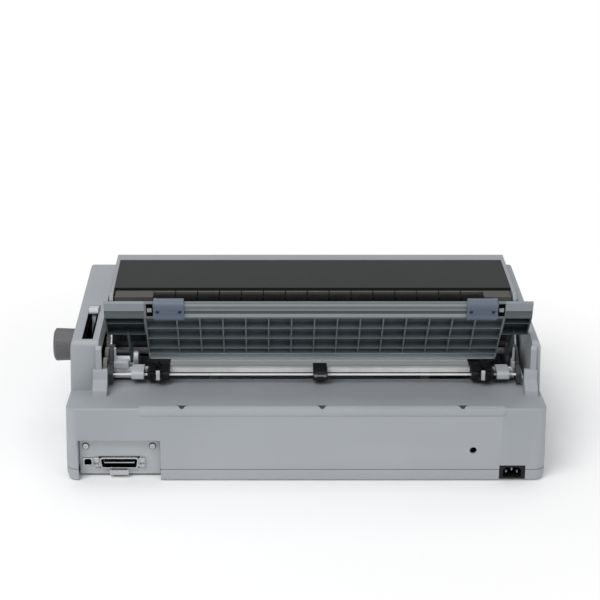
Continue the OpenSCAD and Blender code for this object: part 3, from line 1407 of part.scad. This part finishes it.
support_shaft();
sprocket_unit_right();
sprocket_unit_left();
sprocket_wheel_right();
sprocket_wheel_left();
sprocket_cover_right();
sprocket_cover_left();
lock_lever_right();
lock_lever_left();
centre_support();
end_brackets();
side_frames();
base_frame();
paper_chute();
guide_shaft();
carriage_rail();
carriage();
print_head();
ribbon_cartridge();
ribbon_knob();
timing_belt();
carriage_motor();
motor_pulley();
idler_pulley();
main_board();
power_supply();
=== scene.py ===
"""Looks of the wide-carriage dot matrix printer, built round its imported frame."""

import math

import bmesh
import bpy
from mathutils import Matrix, Vector


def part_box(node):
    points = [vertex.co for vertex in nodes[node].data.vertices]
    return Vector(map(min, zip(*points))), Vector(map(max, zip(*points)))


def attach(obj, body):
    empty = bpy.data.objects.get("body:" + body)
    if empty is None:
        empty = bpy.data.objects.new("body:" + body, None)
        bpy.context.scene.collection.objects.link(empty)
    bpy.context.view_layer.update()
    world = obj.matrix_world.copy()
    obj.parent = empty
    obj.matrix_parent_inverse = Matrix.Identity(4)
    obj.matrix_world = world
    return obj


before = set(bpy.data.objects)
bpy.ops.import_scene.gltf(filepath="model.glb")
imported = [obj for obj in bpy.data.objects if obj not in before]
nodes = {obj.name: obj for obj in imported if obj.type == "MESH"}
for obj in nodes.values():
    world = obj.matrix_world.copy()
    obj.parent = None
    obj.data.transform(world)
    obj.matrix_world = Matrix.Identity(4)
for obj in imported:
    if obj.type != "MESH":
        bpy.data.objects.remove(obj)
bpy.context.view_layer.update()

MM = 0.001
# How far the middle of the case lies towards -X from the middle of the frame, in millimetres
CASE_SHIFT = 15.5
# The paper guide's pivot (y, z) in millimetres, and its lean at rest
GUIDE_PIVOT = (60, 117)
GUIDE_LEAN = math.radians(50.2)
# Middles along X in the frame of the guide's ribbed panel and of the pair of tractor brackets
GUIDE_MIDDLE = -39
BRACKET_MIDDLE = -28
# Middles (x, z) of the openings in the rear wall, from the middle of the case's base
USB_SOCKET = (277, 20)
WIDE_SOCKET = (237, 19.5)
MAINS_INLET = (-261.5, 11.7)


# ---- helpers for nodes and meshes ----

def add(tree, kind, settings=None, **inputs):
    """Adds a node, sets its properties, and sets or links its inputs by name or number."""
    node = tree.nodes.new(kind)
    for name, value in (settings or {}).items():
        setattr(node, name, value)
    for name, value in inputs.items():
        key = int(name[1:]) if name[0] == "_" and name[1:].isdigit() else name.replace("_", " ")
        socket = node.inputs[key]
        if isinstance(value, bpy.types.NodeSocket):
            tree.links.new(value, socket)
        else:
            socket.default_value = value
    return node


def srgb(code):
    """An sRGB hex colour as linear RGBA."""
    parts = [int(code[i:i + 2], 16) / 255 for i in (1, 3, 5)]
    return [p / 12.92 if p <= 0.04045 else ((p + 0.055) / 1.055) ** 2.4 for p in parts] + [1.0]


def new_material(name):
    """An empty node material and its tree."""
    mat = bpy.data.materials.new(name)
    mat.use_nodes = True
    mat.node_tree.nodes.clear()
    return mat, mat.node_tree


def mesh_object(name, bm, material=None):
    """Turns a bmesh into an object at the origin."""
    mesh = bpy.data.meshes.new(name)
    bm.to_mesh(mesh)
    bm.free()
    obj = bpy.data.objects.new(name, mesh)
    bpy.context.collection.objects.link(obj)
    if material:
        mesh.materials.append(material)
    return obj


def object_place(tree):
    """The place on the object, in metres, which is also the place in the frame at rest."""
    return add(tree, "ShaderNodeTexCoord").outputs["Object"]


def noise(tree, place, size_mm, **settings):
    """Cloudy noise whose lumps are about size_mm wide."""
    return add(tree, "ShaderNodeTexNoise", Vector=place, Scale=1 / (size_mm * MM), **settings).outputs[0]


def mapped(tree, value, low, high, new_low=0.0, new_high=1.0):
    """The value with low to high stretched over new_low to new_high, and no further."""
    return add(tree, "ShaderNodeMapRange", _0=value, _1=low, _2=high, _3=new_low, _4=new_high).outputs[0]


def mixed(tree, share, first, second, blend="MIX"):
    """One colour where share is 0, and where it is 1 another, or the two blended."""
    return add(tree, "ShaderNodeMix", {"data_type": "RGBA", "blend_type": blend},
               _0=share, _6=first, _7=second).outputs[2]


# ---- camera, floor and light ----

def add_camera():
    """The photograph was taken from behind and above, with a long lens."""
    data = bpy.data.cameras.new("camera")
    data.lens = 108
    data.sensor_width = 36
    data.shift_x = 0.0553
    camera = bpy.data.objects.new("camera", data)
    camera.location = (0.0339, 2.2519, 1.035)
    camera.rotation_euler = (math.radians(90 - 21.05), 0, math.radians(180))
    bpy.context.collection.objects.link(camera)
    bpy.context.scene.camera = camera


def white_to_camera(tree, shader):
    """White where the camera meets it, also through glass, and the shader elsewhere."""
    path = add(tree, "ShaderNodeLightPath")
    seen = add(tree, "ShaderNodeMath", {"operation": "MAXIMUM"}, _0=path.outputs["Is Camera Ray"],
               _1=path.outputs["Is Transmission Ray"])
    white = add(tree, "ShaderNodeEmission", Color=(1, 1, 1, 1), Strength=1.0)
    return add(tree, "ShaderNodeMixShader", _0=seen.outputs[0], _1=shader, _2=white.outputs[0]).outputs[0]


def add_surround():
    """A pale surround that lights the printer softly and shows as white."""
    world = bpy.data.worlds.new("studio")
    bpy.context.scene.world = world
    world.use_nodes = True
    tree = world.node_tree
    tree.nodes.clear()
    surround = add(tree, "ShaderNodeBackground", Color=srgb("#eef0f2"), Strength=0.40)
    add(tree, "ShaderNodeOutputWorld", Surface=white_to_camera(tree, surround.outputs[0]))


def add_floor(half_size=6, shadow_reach=0.34, white_from=0.62):
    """A pale floor that takes the printer's shadow and fades to white away from it, all in metres."""
    bm = bmesh.new()
    bmesh.ops.create_grid(bm, x_segments=1, y_segments=1, size=half_size)
    mat, tree = new_material("pale_paper_floor")
    pale = add(tree, "ShaderNodeBsdfDiffuse", Color=srgb("#fbfbfb")).outputs[0]
    away = add(tree, "ShaderNodeVectorMath", {"operation": "LENGTH"}, _0=object_place(tree))
    far = mapped(tree, away.outputs["Value"], shadow_reach, white_from)
    faded = add(tree, "ShaderNodeMixShader", _0=far, _1=pale, _2=white_to_camera(tree, pale))
    add(tree, "ShaderNodeOutputMaterial", Surface=faded.outputs[0])
    mesh_object("floor", bm, mat)


def add_lamps():
    """Three soft lamps, all turned towards the middle of the printer."""
    aim = Vector((0, 0, 0.1))
    for name, place, size, watts in (
            ("key", (1.3, 1.7, 2.6), 2.0, 62),
            ("fill", (-2.2, 1.9, 1.4), 2.4, 14),
            ("top", (0.0, -0.9, 2.6), 2.0, 20)):
        lamp = bpy.data.lights.new(name, "AREA")
        lamp.size = size
        lamp.energy = watts
        obj = bpy.data.objects.new(name, lamp)
        obj.location = place
        obj.rotation_euler = (aim - Vector(place)).to_track_quat("-Z", "Y").to_euler()
        bpy.context.collection.objects.link(obj)


# ---- materials ----

def finish_material(tree, settings, colour, roughness, bump_height, bump_mm, edge_mm):
    """Joins colour, gloss and relief in one surface, with edges rounded by edge_mm."""
    round_edges = add(tree, "ShaderNodeBevel", {"samples": 6}, Radius=edge_mm * MM)
    bump = add(tree, "ShaderNodeBump", Strength=0.5, Distance=bump_mm * MM, Height=bump_height,
               Normal=round_edges.outputs[0])
    shader = add(tree, "ShaderNodeBsdfPrincipled", Base_Color=colour, Roughness=roughness,
                 Normal=bump.outputs[0], **settings)
    add(tree, "ShaderNodeOutputMaterial", Surface=shader.outputs[0])


def moulded_plastic(name, base, grain_mm, rough=0.5, relief_mm=0.05, edge_mm=0.8, tint=None, ior=1.49,
                    edge_highlight=0.12):
    """Moulded plastic: a spark-eroded grain in the tool gives a fine even relief and a broken gloss,
    convex edges are coloured paler as a painted highlight, and the colour drifts very slightly over a
    large wall. A tint is a function that takes the node tree and the place and gives the base colour's
    socket."""
    mat, tree = new_material(name)
    place = object_place(tree)
    grain = noise(tree, place, grain_mm, Detail=3.0, Roughness=0.6)
    drift = noise(tree, place, 180, Detail=2.0)
    shade = mapped(tree, drift, 0.3, 0.7, 0.96, 1.04)
    pointiness = add(tree, "ShaderNodeNewGeometry").outputs["Pointiness"]
    # Painted highlight: convex edges, found by pointiness, are mixed towards a pale grey.
    edge = mapped(tree, pointiness, 0.5, 0.62, 0.0, edge_highlight)
    toned = mixed(tree, 1.0, tint(tree, place) if tint else srgb(base), shade, "MULTIPLY")
    edge_highlighted = mixed(tree, edge, toned, srgb("#e4e6e8"))
    gloss = mapped(tree, grain, 0.3, 0.7, rough - 0.06, rough + 0.08)
    finish_material(tree, {"IOR": ior}, edge_highlighted, gloss, grain, relief_mm, edge_mm)
    return mat


def drawn_steel(name, base, across, rough=0.3, line_mm=0.5, edge_mm=0.3, metal=1.0, line_length_mm=60):
    """Ground or rolled metal: fine lines along the work, so the gloss streaks across them. The axes
    that lie across the lines are 1 in across."""
    mat, tree = new_material(name)
    place = object_place(tree)
    stretch = [1 / ((line_mm if crosses else line_length_mm) * MM) for crosses in across]
    laid = add(tree, "ShaderNodeMapping", Vector=place, Scale=stretch).outputs[0]
    lines = add(tree, "ShaderNodeTexNoise", Vector=laid, Scale=1.0, Detail=4.0).outputs[0]
    blotch = noise(tree, place, 30, Detail=2.0)
    colour = mixed(tree, 1.0, srgb(base), mapped(tree, blotch, 0.3, 0.7, 0.88, 1.06), "MULTIPLY")
    gloss = mapped(tree, lines, 0.3, 0.7, rough - 0.08, rough + 0.12)
    finish_material(tree, {"Metallic": metal}, colour, gloss, lines, 0.02, edge_mm)
    return mat


def along(tree, place, direction):
    """How far a place lies from the guide's pivot, along a direction in the plane across the printer."""
    level = add(tree, "ShaderNodeVectorMath", {"operation": "DOT_PRODUCT"}, _0=place, _1=(0, *direction))
    pivot_level = (GUIDE_PIVOT[0] * direction[0] + GUIDE_PIVOT[1] * direction[1]) * MM
    return add(tree, "ShaderNodeMath", {"operation": "SUBTRACT"}, _0=level.outputs["Value"],
               _1=pivot_level).outputs[0]


def from_middle(tree, place, middle_mm):
    """How far a place lies to either side of the plane x = middle_mm."""
    across = add(tree, "ShaderNodeSeparateXYZ", _0=place).outputs[0]
    side = add(tree, "ShaderNodeMath", {"operation": "SUBTRACT"}, _0=across, _1=middle_mm * MM)
    return add(tree, "ShaderNodeMath", {"operation": "ABSOLUTE"}, _0=side.outputs[0]).outputs[0]


def rise(tree, value, start_mm, end_mm):
    """0 before start_mm and 1 past end_mm, or the other way round where the start is the larger."""
    return mapped(tree, value, start_mm * MM, end_mm * MM)


def guide_painted_light_and_shade(tree, place):
    """The paper guide's underside, with light and shade painted in: painted shade makes the cells darker
    than the paler ribs and darkens the wings' undersides, a band by the pivot is coloured pale as painted
    light where the guide shades it, a thin dark line at the bottom of that band is a painted shadow, and
    the thickened tip is paler on the wings as a painted highlight."""
    reach = along(tree, place, (math.cos(GUIDE_LEAN), math.sin(GUIDE_LEAN)))
    depth = along(tree, place, (math.sin(GUIDE_LEAN), -math.cos(GUIDE_LEAN)))
    wing = rise(tree, from_middle(tree, place, GUIDE_MIDDLE), 227.2, 227.8)
    rib = rise(tree, depth, 4.0, 9.9)
    # Painted light: the band by the pivot lies in shade and is coloured far paler.
    pivot_band_painted_light = rise(tree, reach, 17.6, 17.0)
    # Painted shadow: a thin dark line at the bottom of the band by the pivot.
    shadow_line = rise(tree, reach, 1.6, 1.2)
    tip = rise(tree, reach, 112.5, 113.2)
    # Painted highlight: the wings' tips are coloured paler where light falls on them.
    wing_tip_highlight = rise(tree, reach, 124.0, 124.6)
    # Painted shade: the cells between the ribs are coloured darker than the ribs' edges.
    cell_painted_shade = mixed(tree, pivot_band_painted_light, srgb("#545d62"), srgb("#c6cfd1"))
    edge = mixed(tree, pivot_band_painted_light, srgb("#747e80"), srgb("#ced7d9"))
    body = mixed(tree, shadow_line, mixed(tree, rib, cell_painted_shade, edge), srgb("#14181a"))
    # Painted shade: the wings' undersides are coloured dark, darkest in their cells.
    shade = mixed(tree, rib, srgb("#22292c"), srgb("#465052"))
    middle = mixed(tree, tip, body, srgb("#5d6366"))
    side = mixed(tree, wing_tip_highlight, shade, srgb("#7f858a"))
    return mixed(tree, wing, middle, side)


def bracket_tint(tree, place):
    """The bracket's bearing plate is coloured dark and the blocks on it pale."""
    bearing_plate = rise(tree, from_middle(tree, place, BRACKET_MIDDLE), 261.0, 261.2)
    return mixed(tree, bearing_plate, srgb("#c3c6ca"), srgb("#2a2c2f"))


def ground_rubber(name, base, dust_share=0.12):
    """Ground rubber: dull, with a fine matt grain left by the grinding wheel and paper dust in it."""
    mat, tree = new_material(name)
    place = object_place(tree)
    grit = noise(tree, place, 0.6, Detail=4.0)
    veil = mapped(tree, noise(tree, place, 14, Detail=3.0), 0.45, 0.8, 0.0, dust_share)
    colour = mixed(tree, veil, srgb(base), srgb("#77726c"))
    finish_material(tree, {"IOR": 1.3}, colour, 0.86, grit, 0.06, 0.5)
    return mat


def smoked_acrylic(name, clear_share=0.26):
    """Smoked acrylic sheet: a glossy skin over a deep grey tint that lets a little light through."""
    mat, tree = new_material(name)
    gloss = mapped(tree, noise(tree, object_place(tree), 70, Detail=3.0), 0.3, 0.8, 0.16, 0.3)
    skin = add(tree, "ShaderNodeBsdfPrincipled", Base_Color=srgb("#2c2d2c"), Roughness=gloss, IOR=1.49)
    clear = add(tree, "ShaderNodeBsdfTransparent", Color=srgb("#6c6c6c"))
    sheet = add(tree, "ShaderNodeMixShader", _0=clear_share, _1=skin.outputs[0], _2=clear.outputs[0])
    add(tree, "ShaderNodeOutputMaterial", Surface=sheet.outputs[0])
    return mat


def solder_mask(name):
    """Circuit board: green lacquer over copper tracks that show as slightly paler lines."""
    mat, tree = new_material(name)
    place = object_place(tree)
    tracks = add(tree, "ShaderNodeTexBrick", Vector=place, Color1=srgb("#1f5234"), Color2=srgb("#1b4a2f"),
                 Mortar=srgb("#3d7a52"), Scale=1 / (18 * MM), Mortar_Size=0.03)
    finish_material(tree, {"IOR": 1.55}, tracks.outputs[0], 0.35, noise(tree, place, 3), 0.03, 0.2)
    return mat


# ---- pieces that the frame's solids leave out ----

def at(x, y, z):
    """A point of the case, in millimetres from the middle of its base, in the frame's metres."""
    return Vector((x - CASE_SHIFT, y, z)) * MM


def bar(bm, lo, hi, bevel_mm=0.0):
    """A block between two corners in metres, with its edges rounded."""
    placed = Matrix.Translation((lo + hi) / 2) @ Matrix.Diagonal((*(hi - lo), 1))
    made = bmesh.ops.create_cube(bm, size=1.0, matrix=placed)["verts"]
    if bevel_mm:
        edges = {e for v in made for e in v.link_edges}
        bmesh.ops.bevel(bm, geom=list(edges), offset=bevel_mm * MM, segments=2, profile=0.5,
                        affect="EDGES", material=-1, clamp_overlap=True)


def bars(bm, opening, y0, y1, outlines, bevel_mm=0.0):
    """Blocks from y0 to y1, each given by x0, z0, x1 and z1 from the middle of an opening."""
    x, z = opening
    for x0, z0, x1, z1 in outlines:
        bar(bm, at(x + x0, y0, z + z0), at(x + x1, y1, z + z1), bevel_mm)


def plate(bm, outline, depth):
    """A plate from an outline of points, pushed along the vector depth."""
    face = bm.faces.new([bm.verts.new(p) for p in outline])
    out = bmesh.ops.extrude_face_region(bm, geom=[face])["geom"]
    bmesh.ops.translate(bm, vec=depth, verts=[g for g in out if isinstance(g, bmesh.types.BMVert)])


def turned(bm, profile, axis, centre, steps=40):
    """A ring or washer: a closed profile of points spun right round the axis through centre."""
    verts = [bm.verts.new(q) for q in profile]
    edges = [bm.edges.new((a, b)) for a, b in zip(verts, verts[1:] + verts[:1])]
    bmesh.ops.spin(bm, geom=verts + edges, cent=centre, axis=axis, angle=math.tau, steps=steps,
                   use_merge=True)


def finished(name, bm, material, body):
    """Closes a piece's mesh, gives it its finish and puts it on the body that carries it."""
    bmesh.ops.recalc_face_normals(bm, faces=bm.faces)
    piece = mesh_object(name, bm, material)
    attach(piece, body)


def lip_height(y):
    """Height of the ledge at y: a slope from 90 at y = 85, and the round bulge of the lip at its rear."""
    bulge_r, bulge_y, bulge_z = 7.5, 195, 93.5
    slope = 90 + 10 * (y - 85) / 116
    return max(slope, bulge_z + math.sqrt(max(bulge_r ** 2 - (y - bulge_y) ** 2, 0)))


def add_lip_marks(recess_shade):
    """Dark plates over the three triangular recessed marks, laid down the slope of the paper lip as the
    painted shade in the recesses. Each widens from its rear end, and its rows lie closer together where the
    lip curves more."""
    middle, pitch, proud = -20, 176, 0.12
    rear, length, rear_half, widening = 200.8, 8.6, 1.2, 5.6
    rows = (191.2, 192.2, 193.4, 194.8, 196.2, 197.6, 198.8, 199.6, 200.2, 200.7)
    bm = bmesh.new()
    for i in (-1, 0, 1):
        x = middle + i * pitch
        for y0, y1 in zip(rows, rows[1:]):
            half0, half1 = (rear_half + widening * (rear - y) / length for y in (y0, y1))
            z0, z1 = lip_height(y0) + proud, lip_height(y1) + proud
            plate(bm, [at(x - half0, y0, z0), at(x + half0, y0, z0),
                       at(x + half1, y1, z1), at(x - half1, y1, z1)], Vector((0, 0, -0.3)) * MM)
    finished("lip_mark_painted_shade", bm, recess_shade, "chassis")


def add_slot_gasket(black):
    """Black flap seals in the release lever's slot, one on each side of the lever, and black plates lining
    its walls as painted shade inside the slot.
    """
    left, right, front, rear = 272, 286, 2, 121
    flap, thin, gap = 3.5, 0.4, 0.05
    bm = bmesh.new()
    for x0 in (left + 0.1, right - 0.1 - flap):
        bar(bm, at(x0, front + 0.2, 156.5), at(x0 + flap, rear - 0.2, 157.6), 0.4)
    # Painted shade: thin black plates line the slot's four walls.
    for x0, x1, y0, y1 in ((left + gap, left + gap + thin, front + 0.1, rear - 0.1),
                           (right - gap - thin, right - gap, front + 0.1, rear - 0.1),
                           (left + 0.5, right - 0.5, front + gap, front + gap + thin),
                           (left + 0.5, right - 0.5, rear - 0.5, rear - gap)):
        bar(bm, at(x0, y0, 151), at(x1, y1, 161.2))
    finished("lever_slot_seal_and_painted_shade", bm, black, "chassis")


def add_washers(dark):
    """Dished washers under the two screws of the interface panel."""
    bm = bmesh.new()
    for x in (279, 194.5):
        screw = at(x, 187, 42)
        profile = ((3.5, 0.02), (4.7, 0.02), (4.55, 0.5), (3.5, 0.6))
        turned(bm, [screw + Vector((radius, y, 0)) * MM for radius, y in profile], (0, 1, 0), screw)
    finished("interface_screw_washers", bm, dark, "chassis")


def add_socket_insulators_and_shade(black, gold):
    """Black insulators inside the USB socket, black plates in the wide socket's gaps beside its tongue as
    painted shade, and the wide socket's gilt contact leaves.
    """
    floor_y = 177.05
    bm = bmesh.new()
    bars(bm, USB_SOCKET, 177.1, 187.8, ((-4.57, -3.97, 4.57, -3.55), (-4.57, -3.55, -4.15, 1.9),
                                        (4.15, -3.55, 4.57, 1.9), (-2.7, 3.55, 2.7, 3.97)))
    bars(bm, USB_SOCKET, floor_y, 177.5, ((-4.5, -3.9, 4.5, 1.9),))
    bars(bm, USB_SOCKET, 177.5, 186.2, ((-2.7, -1.7, 2.7, 1.3),), 0.3)
    # Painted shade: black plates line the wide socket's shell and the backs of its gaps.
    bars(bm, WIDE_SOCKET, 177.1, 190.6, ((-20, -5.95, 20, -5.6), (-20, 5.6, 20, 5.95),
                                         (-21.6, -4.5, -21.25, 3.6), (21.25, -4.5, 21.6, 3.6)))
    bars(bm, WIDE_SOCKET, floor_y, 177.6, ((-20.5, -5.5, 20.5, -1.8), (-20.5, 1.8, 20.5, 5.5)))
    # Painted shade: black sheets over the tongue's faces and front make the gaps beside it dark.
    bars(bm, WIDE_SOCKET, 178.2, 188.9, ((-19.4, 1.72, 19.4, 2.1), (-19.4, -2.1, 19.4, -1.72)))
    bars(bm, WIDE_SOCKET, 189.01, 189.2, ((-18.6, 0.75, 18.6, 1.7), (-18.6, -1.7, 18.6, -0.75)))
    finished("socket_insulators_and_painted_shade", bm, black, "chassis")
    contacts, pitch, half = 18, 2.16, 0.4
    bm = bmesh.new()
    for i in range(contacts):
        x = (i - (contacts - 1) / 2) * pitch
        bars(bm, WIDE_SOCKET, 179.3, 188.6, ((x - half, 2.0, x + half, 2.3),
                                             (x - half, -2.3, x + half, -2.0)), 0.05)
    finished("socket_contacts", bm, gold, "chassis")


def add_inlet_blades(nickel):
    """Bright plating on the mains inlet's three blades."""
    half_w, half_h = 1.1, 2.1
    bm = bmesh.new()
    bars(bm, MAINS_INLET, 182.5, 195.15, [(x - half_w, z - half_h, x + half_w, z + half_h)
                                          for x, z in ((-7, -1.6), (0, 1.8), (7, -1.6))], 0.5)
    finished("inlet_blades", bm, nickel, "chassis")


def add_guide_trim(pale, grey, black):
    """Thin raised lines along the underside of the guide's tip, coloured pale as painted highlights, a dark
    strip in its groove as painted shadow, and where each wing begins a dark patch as the painted shadow
    of a notch, with a pale peg. All lie under the edge guides' clearance. Each is a strip from
    one distance down the tip to another, so high above it, from one x to another."""
    tip = Vector((0, 115, -10))
    down = Vector((0, 19.5, 9)).normalized()
    out = Vector((0, 9, -19.5)).normalized()
    lean = Matrix.Translation(at(0, *GUIDE_PIVOT)) @ Matrix.Rotation(GUIDE_LEAN, 4, "X")
    left, right = -241.6, 192.5
    notch = 8.6
    peg_and_highlight_bm, groove_shadow_bm, notch_shadow_bm = bmesh.new(), bmesh.new(), bmesh.new()
    # Pale strips are painted highlights, and the dark strip in the groove is painted shadow.
    strips = [(peg_and_highlight_bm, 0.4, 5.8, 0.2, left, right), (groove_shadow_bm, 6.4, 10.4, 0.1, left, right),
              (peg_and_highlight_bm, 11.2, 12.6, 0.2, left, right), (peg_and_highlight_bm, 17.4, 21, 0.2, left, right)]
    # Painted shadow: a dark patch where each notch is, and a pale peg on it.
    for x0 in (right + 0.2, left - 0.2 - notch):
        strips += [(notch_shadow_bm, 2.0, 21, 0.1, x0, x0 + notch),
                   (peg_and_highlight_bm, 8.6, 14.6, 0.25, x0 + 1.6, x0 + notch - 1.2)]
    for bm, near, far, height, x0, x1 in strips:
        corners = [tip + down * a + out * b
                   for a, b in ((near, -0.3), (far, -0.3), (far, height), (near, height))]
        ends = [lean @ (Vector((x0, c.y, c.z)) * MM) for c in corners]
        plate(bm, ends, Vector((x1 - x0, 0, 0)) * MM)
    finished("guide_tip_ribs_painted_highlight", peg_and_highlight_bm, pale, "paper_guide")
    finished("guide_tip_groove_painted_shadow", groove_shadow_bm, grey, "paper_guide")
    finished("guide_notch_painted_shadow", notch_shadow_bm, black, "paper_guide")


def add_support_clip(steel):
    """The spring clip that holds the centre paper support down on its thin shaft."""
    lo, hi = (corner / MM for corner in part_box("centre_support"))
    bm = bmesh.new()
    bar(bm, Vector((lo.x + 0.6, hi.y - 0.1, 105.2)) * MM, Vector((hi.x - 0.6, hi.y + 0.5, 107.8)) * MM, 0.2)
    for x in (lo.x + 2.2, hi.x - 4.2):
        bar(bm, Vector((x, hi.y + 0.45, 104.4)) * MM, Vector((x + 2, hi.y + 1.1, 108.6)) * MM, 0.25)
    finished("support_clip", bm, steel, "centre_support")


# ---- finishes ----

def dress_nodes():
    """Gives every CAD node the finish of the real piece."""
    case = moulded_plastic("case_abs_fine_texture", "#9da1a5", 0.9, 0.52, 0.05, edge_mm=1.2)
    cover = moulded_plastic("cover_abs_fine_texture", "#96989b", 0.9, 0.5, 0.05)
    guide = moulded_plastic("guide_abs_satin", None, 0.8, 0.46, 0.04, tint=guide_painted_light_and_shade, edge_highlight=0.05)
    blue = moulded_plastic("edge_guide_blue_acetal", "#31455a", 0.6, 0.4, 0.03)
    knob = moulded_plastic("knob_abs_satin", "#5d5c5e", 0.7, 0.48, 0.05, edge_highlight=0.06)
    black = moulded_plastic("black_filled_nylon", "#0d0e10", 0.5, 0.6, 0.04, ior=1.35, edge_highlight=0.012)
    dark = moulded_plastic("dark_grey_styrene", "#3b3a36", 0.6, 0.5, 0.04, edge_highlight=0.04)
    white = moulded_plastic("pale_grey_acetal", "#c3c6ca", 0.6, 0.42, 0.03)
    bracket = moulded_plastic("bracket_pale_blocks_dark_plate", None, 0.6, 0.44, 0.03, tint=bracket_tint,
                              edge_highlight=0.04)
    panel = moulded_plastic("panel_abs_satin", "#b4b7bb", 0.8, 0.5, 0.04)
    buttons = moulded_plastic("button_abs_satin", "#7e8185", 0.6, 0.42, 0.03)
    lamps = moulded_plastic("lamp_lens_tinted", "#5f9a5f", 0.5, 0.25, 0.01)
    natural = moulded_plastic("natural_acetal_gear", "#bdbdb8", 0.5, 0.38, 0.02)
    # Painted reflection: the steel shafts are a near non-metallic white, standing in for the bright sheen
    # of polished rods.
    shaft = drawn_steel("steel_shaft_painted_white_sheen", "#ffffff", (0, 1, 1), 0.32, metal=0.05)
    zinc = drawn_steel("zinc_plated_sheet", "#b4b8bd", (0, 1, 1), 0.4, 0.8)
    # Pale painted sheet, coloured paler still as painted light where the guide shades it.
    chute = moulded_plastic("chute_sheet_with_painted_light", "#babebd", 0.6, 0.45, 0.02)
    pan = drawn_steel("galvanised_pan", "#9a9ea3", (1, 0, 1), 0.46, 1.2)
    nickel = drawn_steel("nickel_plated_shell", "#c4c6c8", (1, 0, 1), 0.28, 0.4)
    brass = drawn_steel("turned_brass", "#c9a257", (0, 1, 1), 0.3)
    cast = drawn_steel("cast_aluminium_head", "#a3a5a7", (1, 1, 1), 0.5, 1.0)
    rubber = ground_rubber("ground_platen_rubber", "#151516")
    roller = ground_rubber("brown_black_roller_rubber", "#0f0e0d", 0.03)
    board = solder_mask("green_solder_mask")
    window = smoked_acrylic("smoked_acrylic_sheet")
    interface = moulded_plastic("interface_panel_painted_steel", "#b3b6b9", 0.7, 0.42, 0.03)
    finishes = {
        case: ["upper_case", "lower_case", "front_cover"],
        cover: ["cover_frame"],
        guide: ["paper_guide"],
        blue: ["edge_guide_right", "edge_guide_left"],
        knob: ["platen_knob"],
        black: ["sprocket_unit_right", "sprocket_unit_left", "sprocket_wheel_right",
                "sprocket_wheel_left", "sprocket_cover_right", "sprocket_cover_left", "centre_support",
                "ribbon_cartridge", "ribbon_knob", "mains_inlet", "power_switch", "carriage"],
        dark: ["tension_unit"],
        white: ["release_lever", "lock_lever_right", "lock_lever_left"],
        bracket: ["end_brackets"],
        panel: ["control_panel"],
        buttons: [f"button_{i}" for i in (1, 2, 3, 4)],
        lamps: ["panel_lamps"],
        natural: ["platen_gear", "idler_gear", "tractor_gear", "motor_pulley", "idler_pulley"],
        shaft: ["drive_shaft", "support_shaft", "guide_shaft"],
        zinc: ["side_frames", "carriage_rail", "feed_motor", "carriage_motor"],
        chute: ["paper_chute"],
        pan: ["base_frame"],
        nickel: ["screws", "usb_socket", "parallel_connector", "wire_clip_right", "wire_clip_left"],
        brass: ["feed_pinion"],
        cast: ["print_head"],
        rubber: ["platen", "feet", "timing_belt"],
        roller: ["tension_rollers"],
        board: ["main_board", "power_supply"],
        window: ["cover_window"],
        interface: ["interface_panel"],
    }
    for finish, names in finishes.items():
        for name in names:
            mesh = nodes[name].data
            mesh.materials.clear()
            mesh.materials.append(finish)


def add_trim():
    """Makes the small pieces that the frame's solids leave out, each in its finish."""
    # Matt black for the black insulators and flaps, and as painted shade in the lever slot, the wide
    # socket's gaps and the guide's notches.
    matt_black_and_shadow = moulded_plastic("matt_black_and_painted_shadow", "#050506", 0.6, 0.9, 0.02, edge_mm=0.2, ior=1.12,
                            edge_highlight=0.0)
    gold = drawn_steel("gilt_contact_spring", "#7d6a3c", (1, 0, 1), 0.3, 0.3)
    dull = drawn_steel("phosphated_washer", "#6d6f71", (1, 0, 1), 0.5, 0.4)
    blades = drawn_steel("nickel_inlet_blade", "#9a9c9e", (1, 0, 1), 0.34, 0.3)
    # Painted highlight for the guide tip's thin lines, which is also the pale pegs' colour.
    pale = moulded_plastic("guide_rib_painted_highlight_and_peg", "#7d8386", 0.8, 0.44, 0.03)
    # Painted shade: a dark slate colour for the shade in the lip's recessed marks.
    recess_shade = moulded_plastic("mark_recess_painted_shade", "#343845", 0.6, 0.7, 0.02, edge_highlight=0.0)
    # Painted shadow: the dark grey of the groove along the guide's tip.
    groove = moulded_plastic("guide_groove_painted_shadow", "#464c4f", 0.8, 0.6, 0.03, edge_highlight=0.0)
    add_lip_marks(recess_shade)
    add_slot_gasket(matt_black_and_shadow)
    add_washers(dull)
    add_socket_insulators_and_shade(matt_black_and_shadow, gold)
    add_inlet_blades(blades)
    add_guide_trim(pale, groove, matt_black_and_shadow)
    add_support_clip(bpy.data.materials["nickel_plated_shell"])


add_camera()
add_surround()
add_floor()
add_lamps()
bpy.context.scene.view_settings.view_transform = "Standard"
dress_nodes()
add_trim()
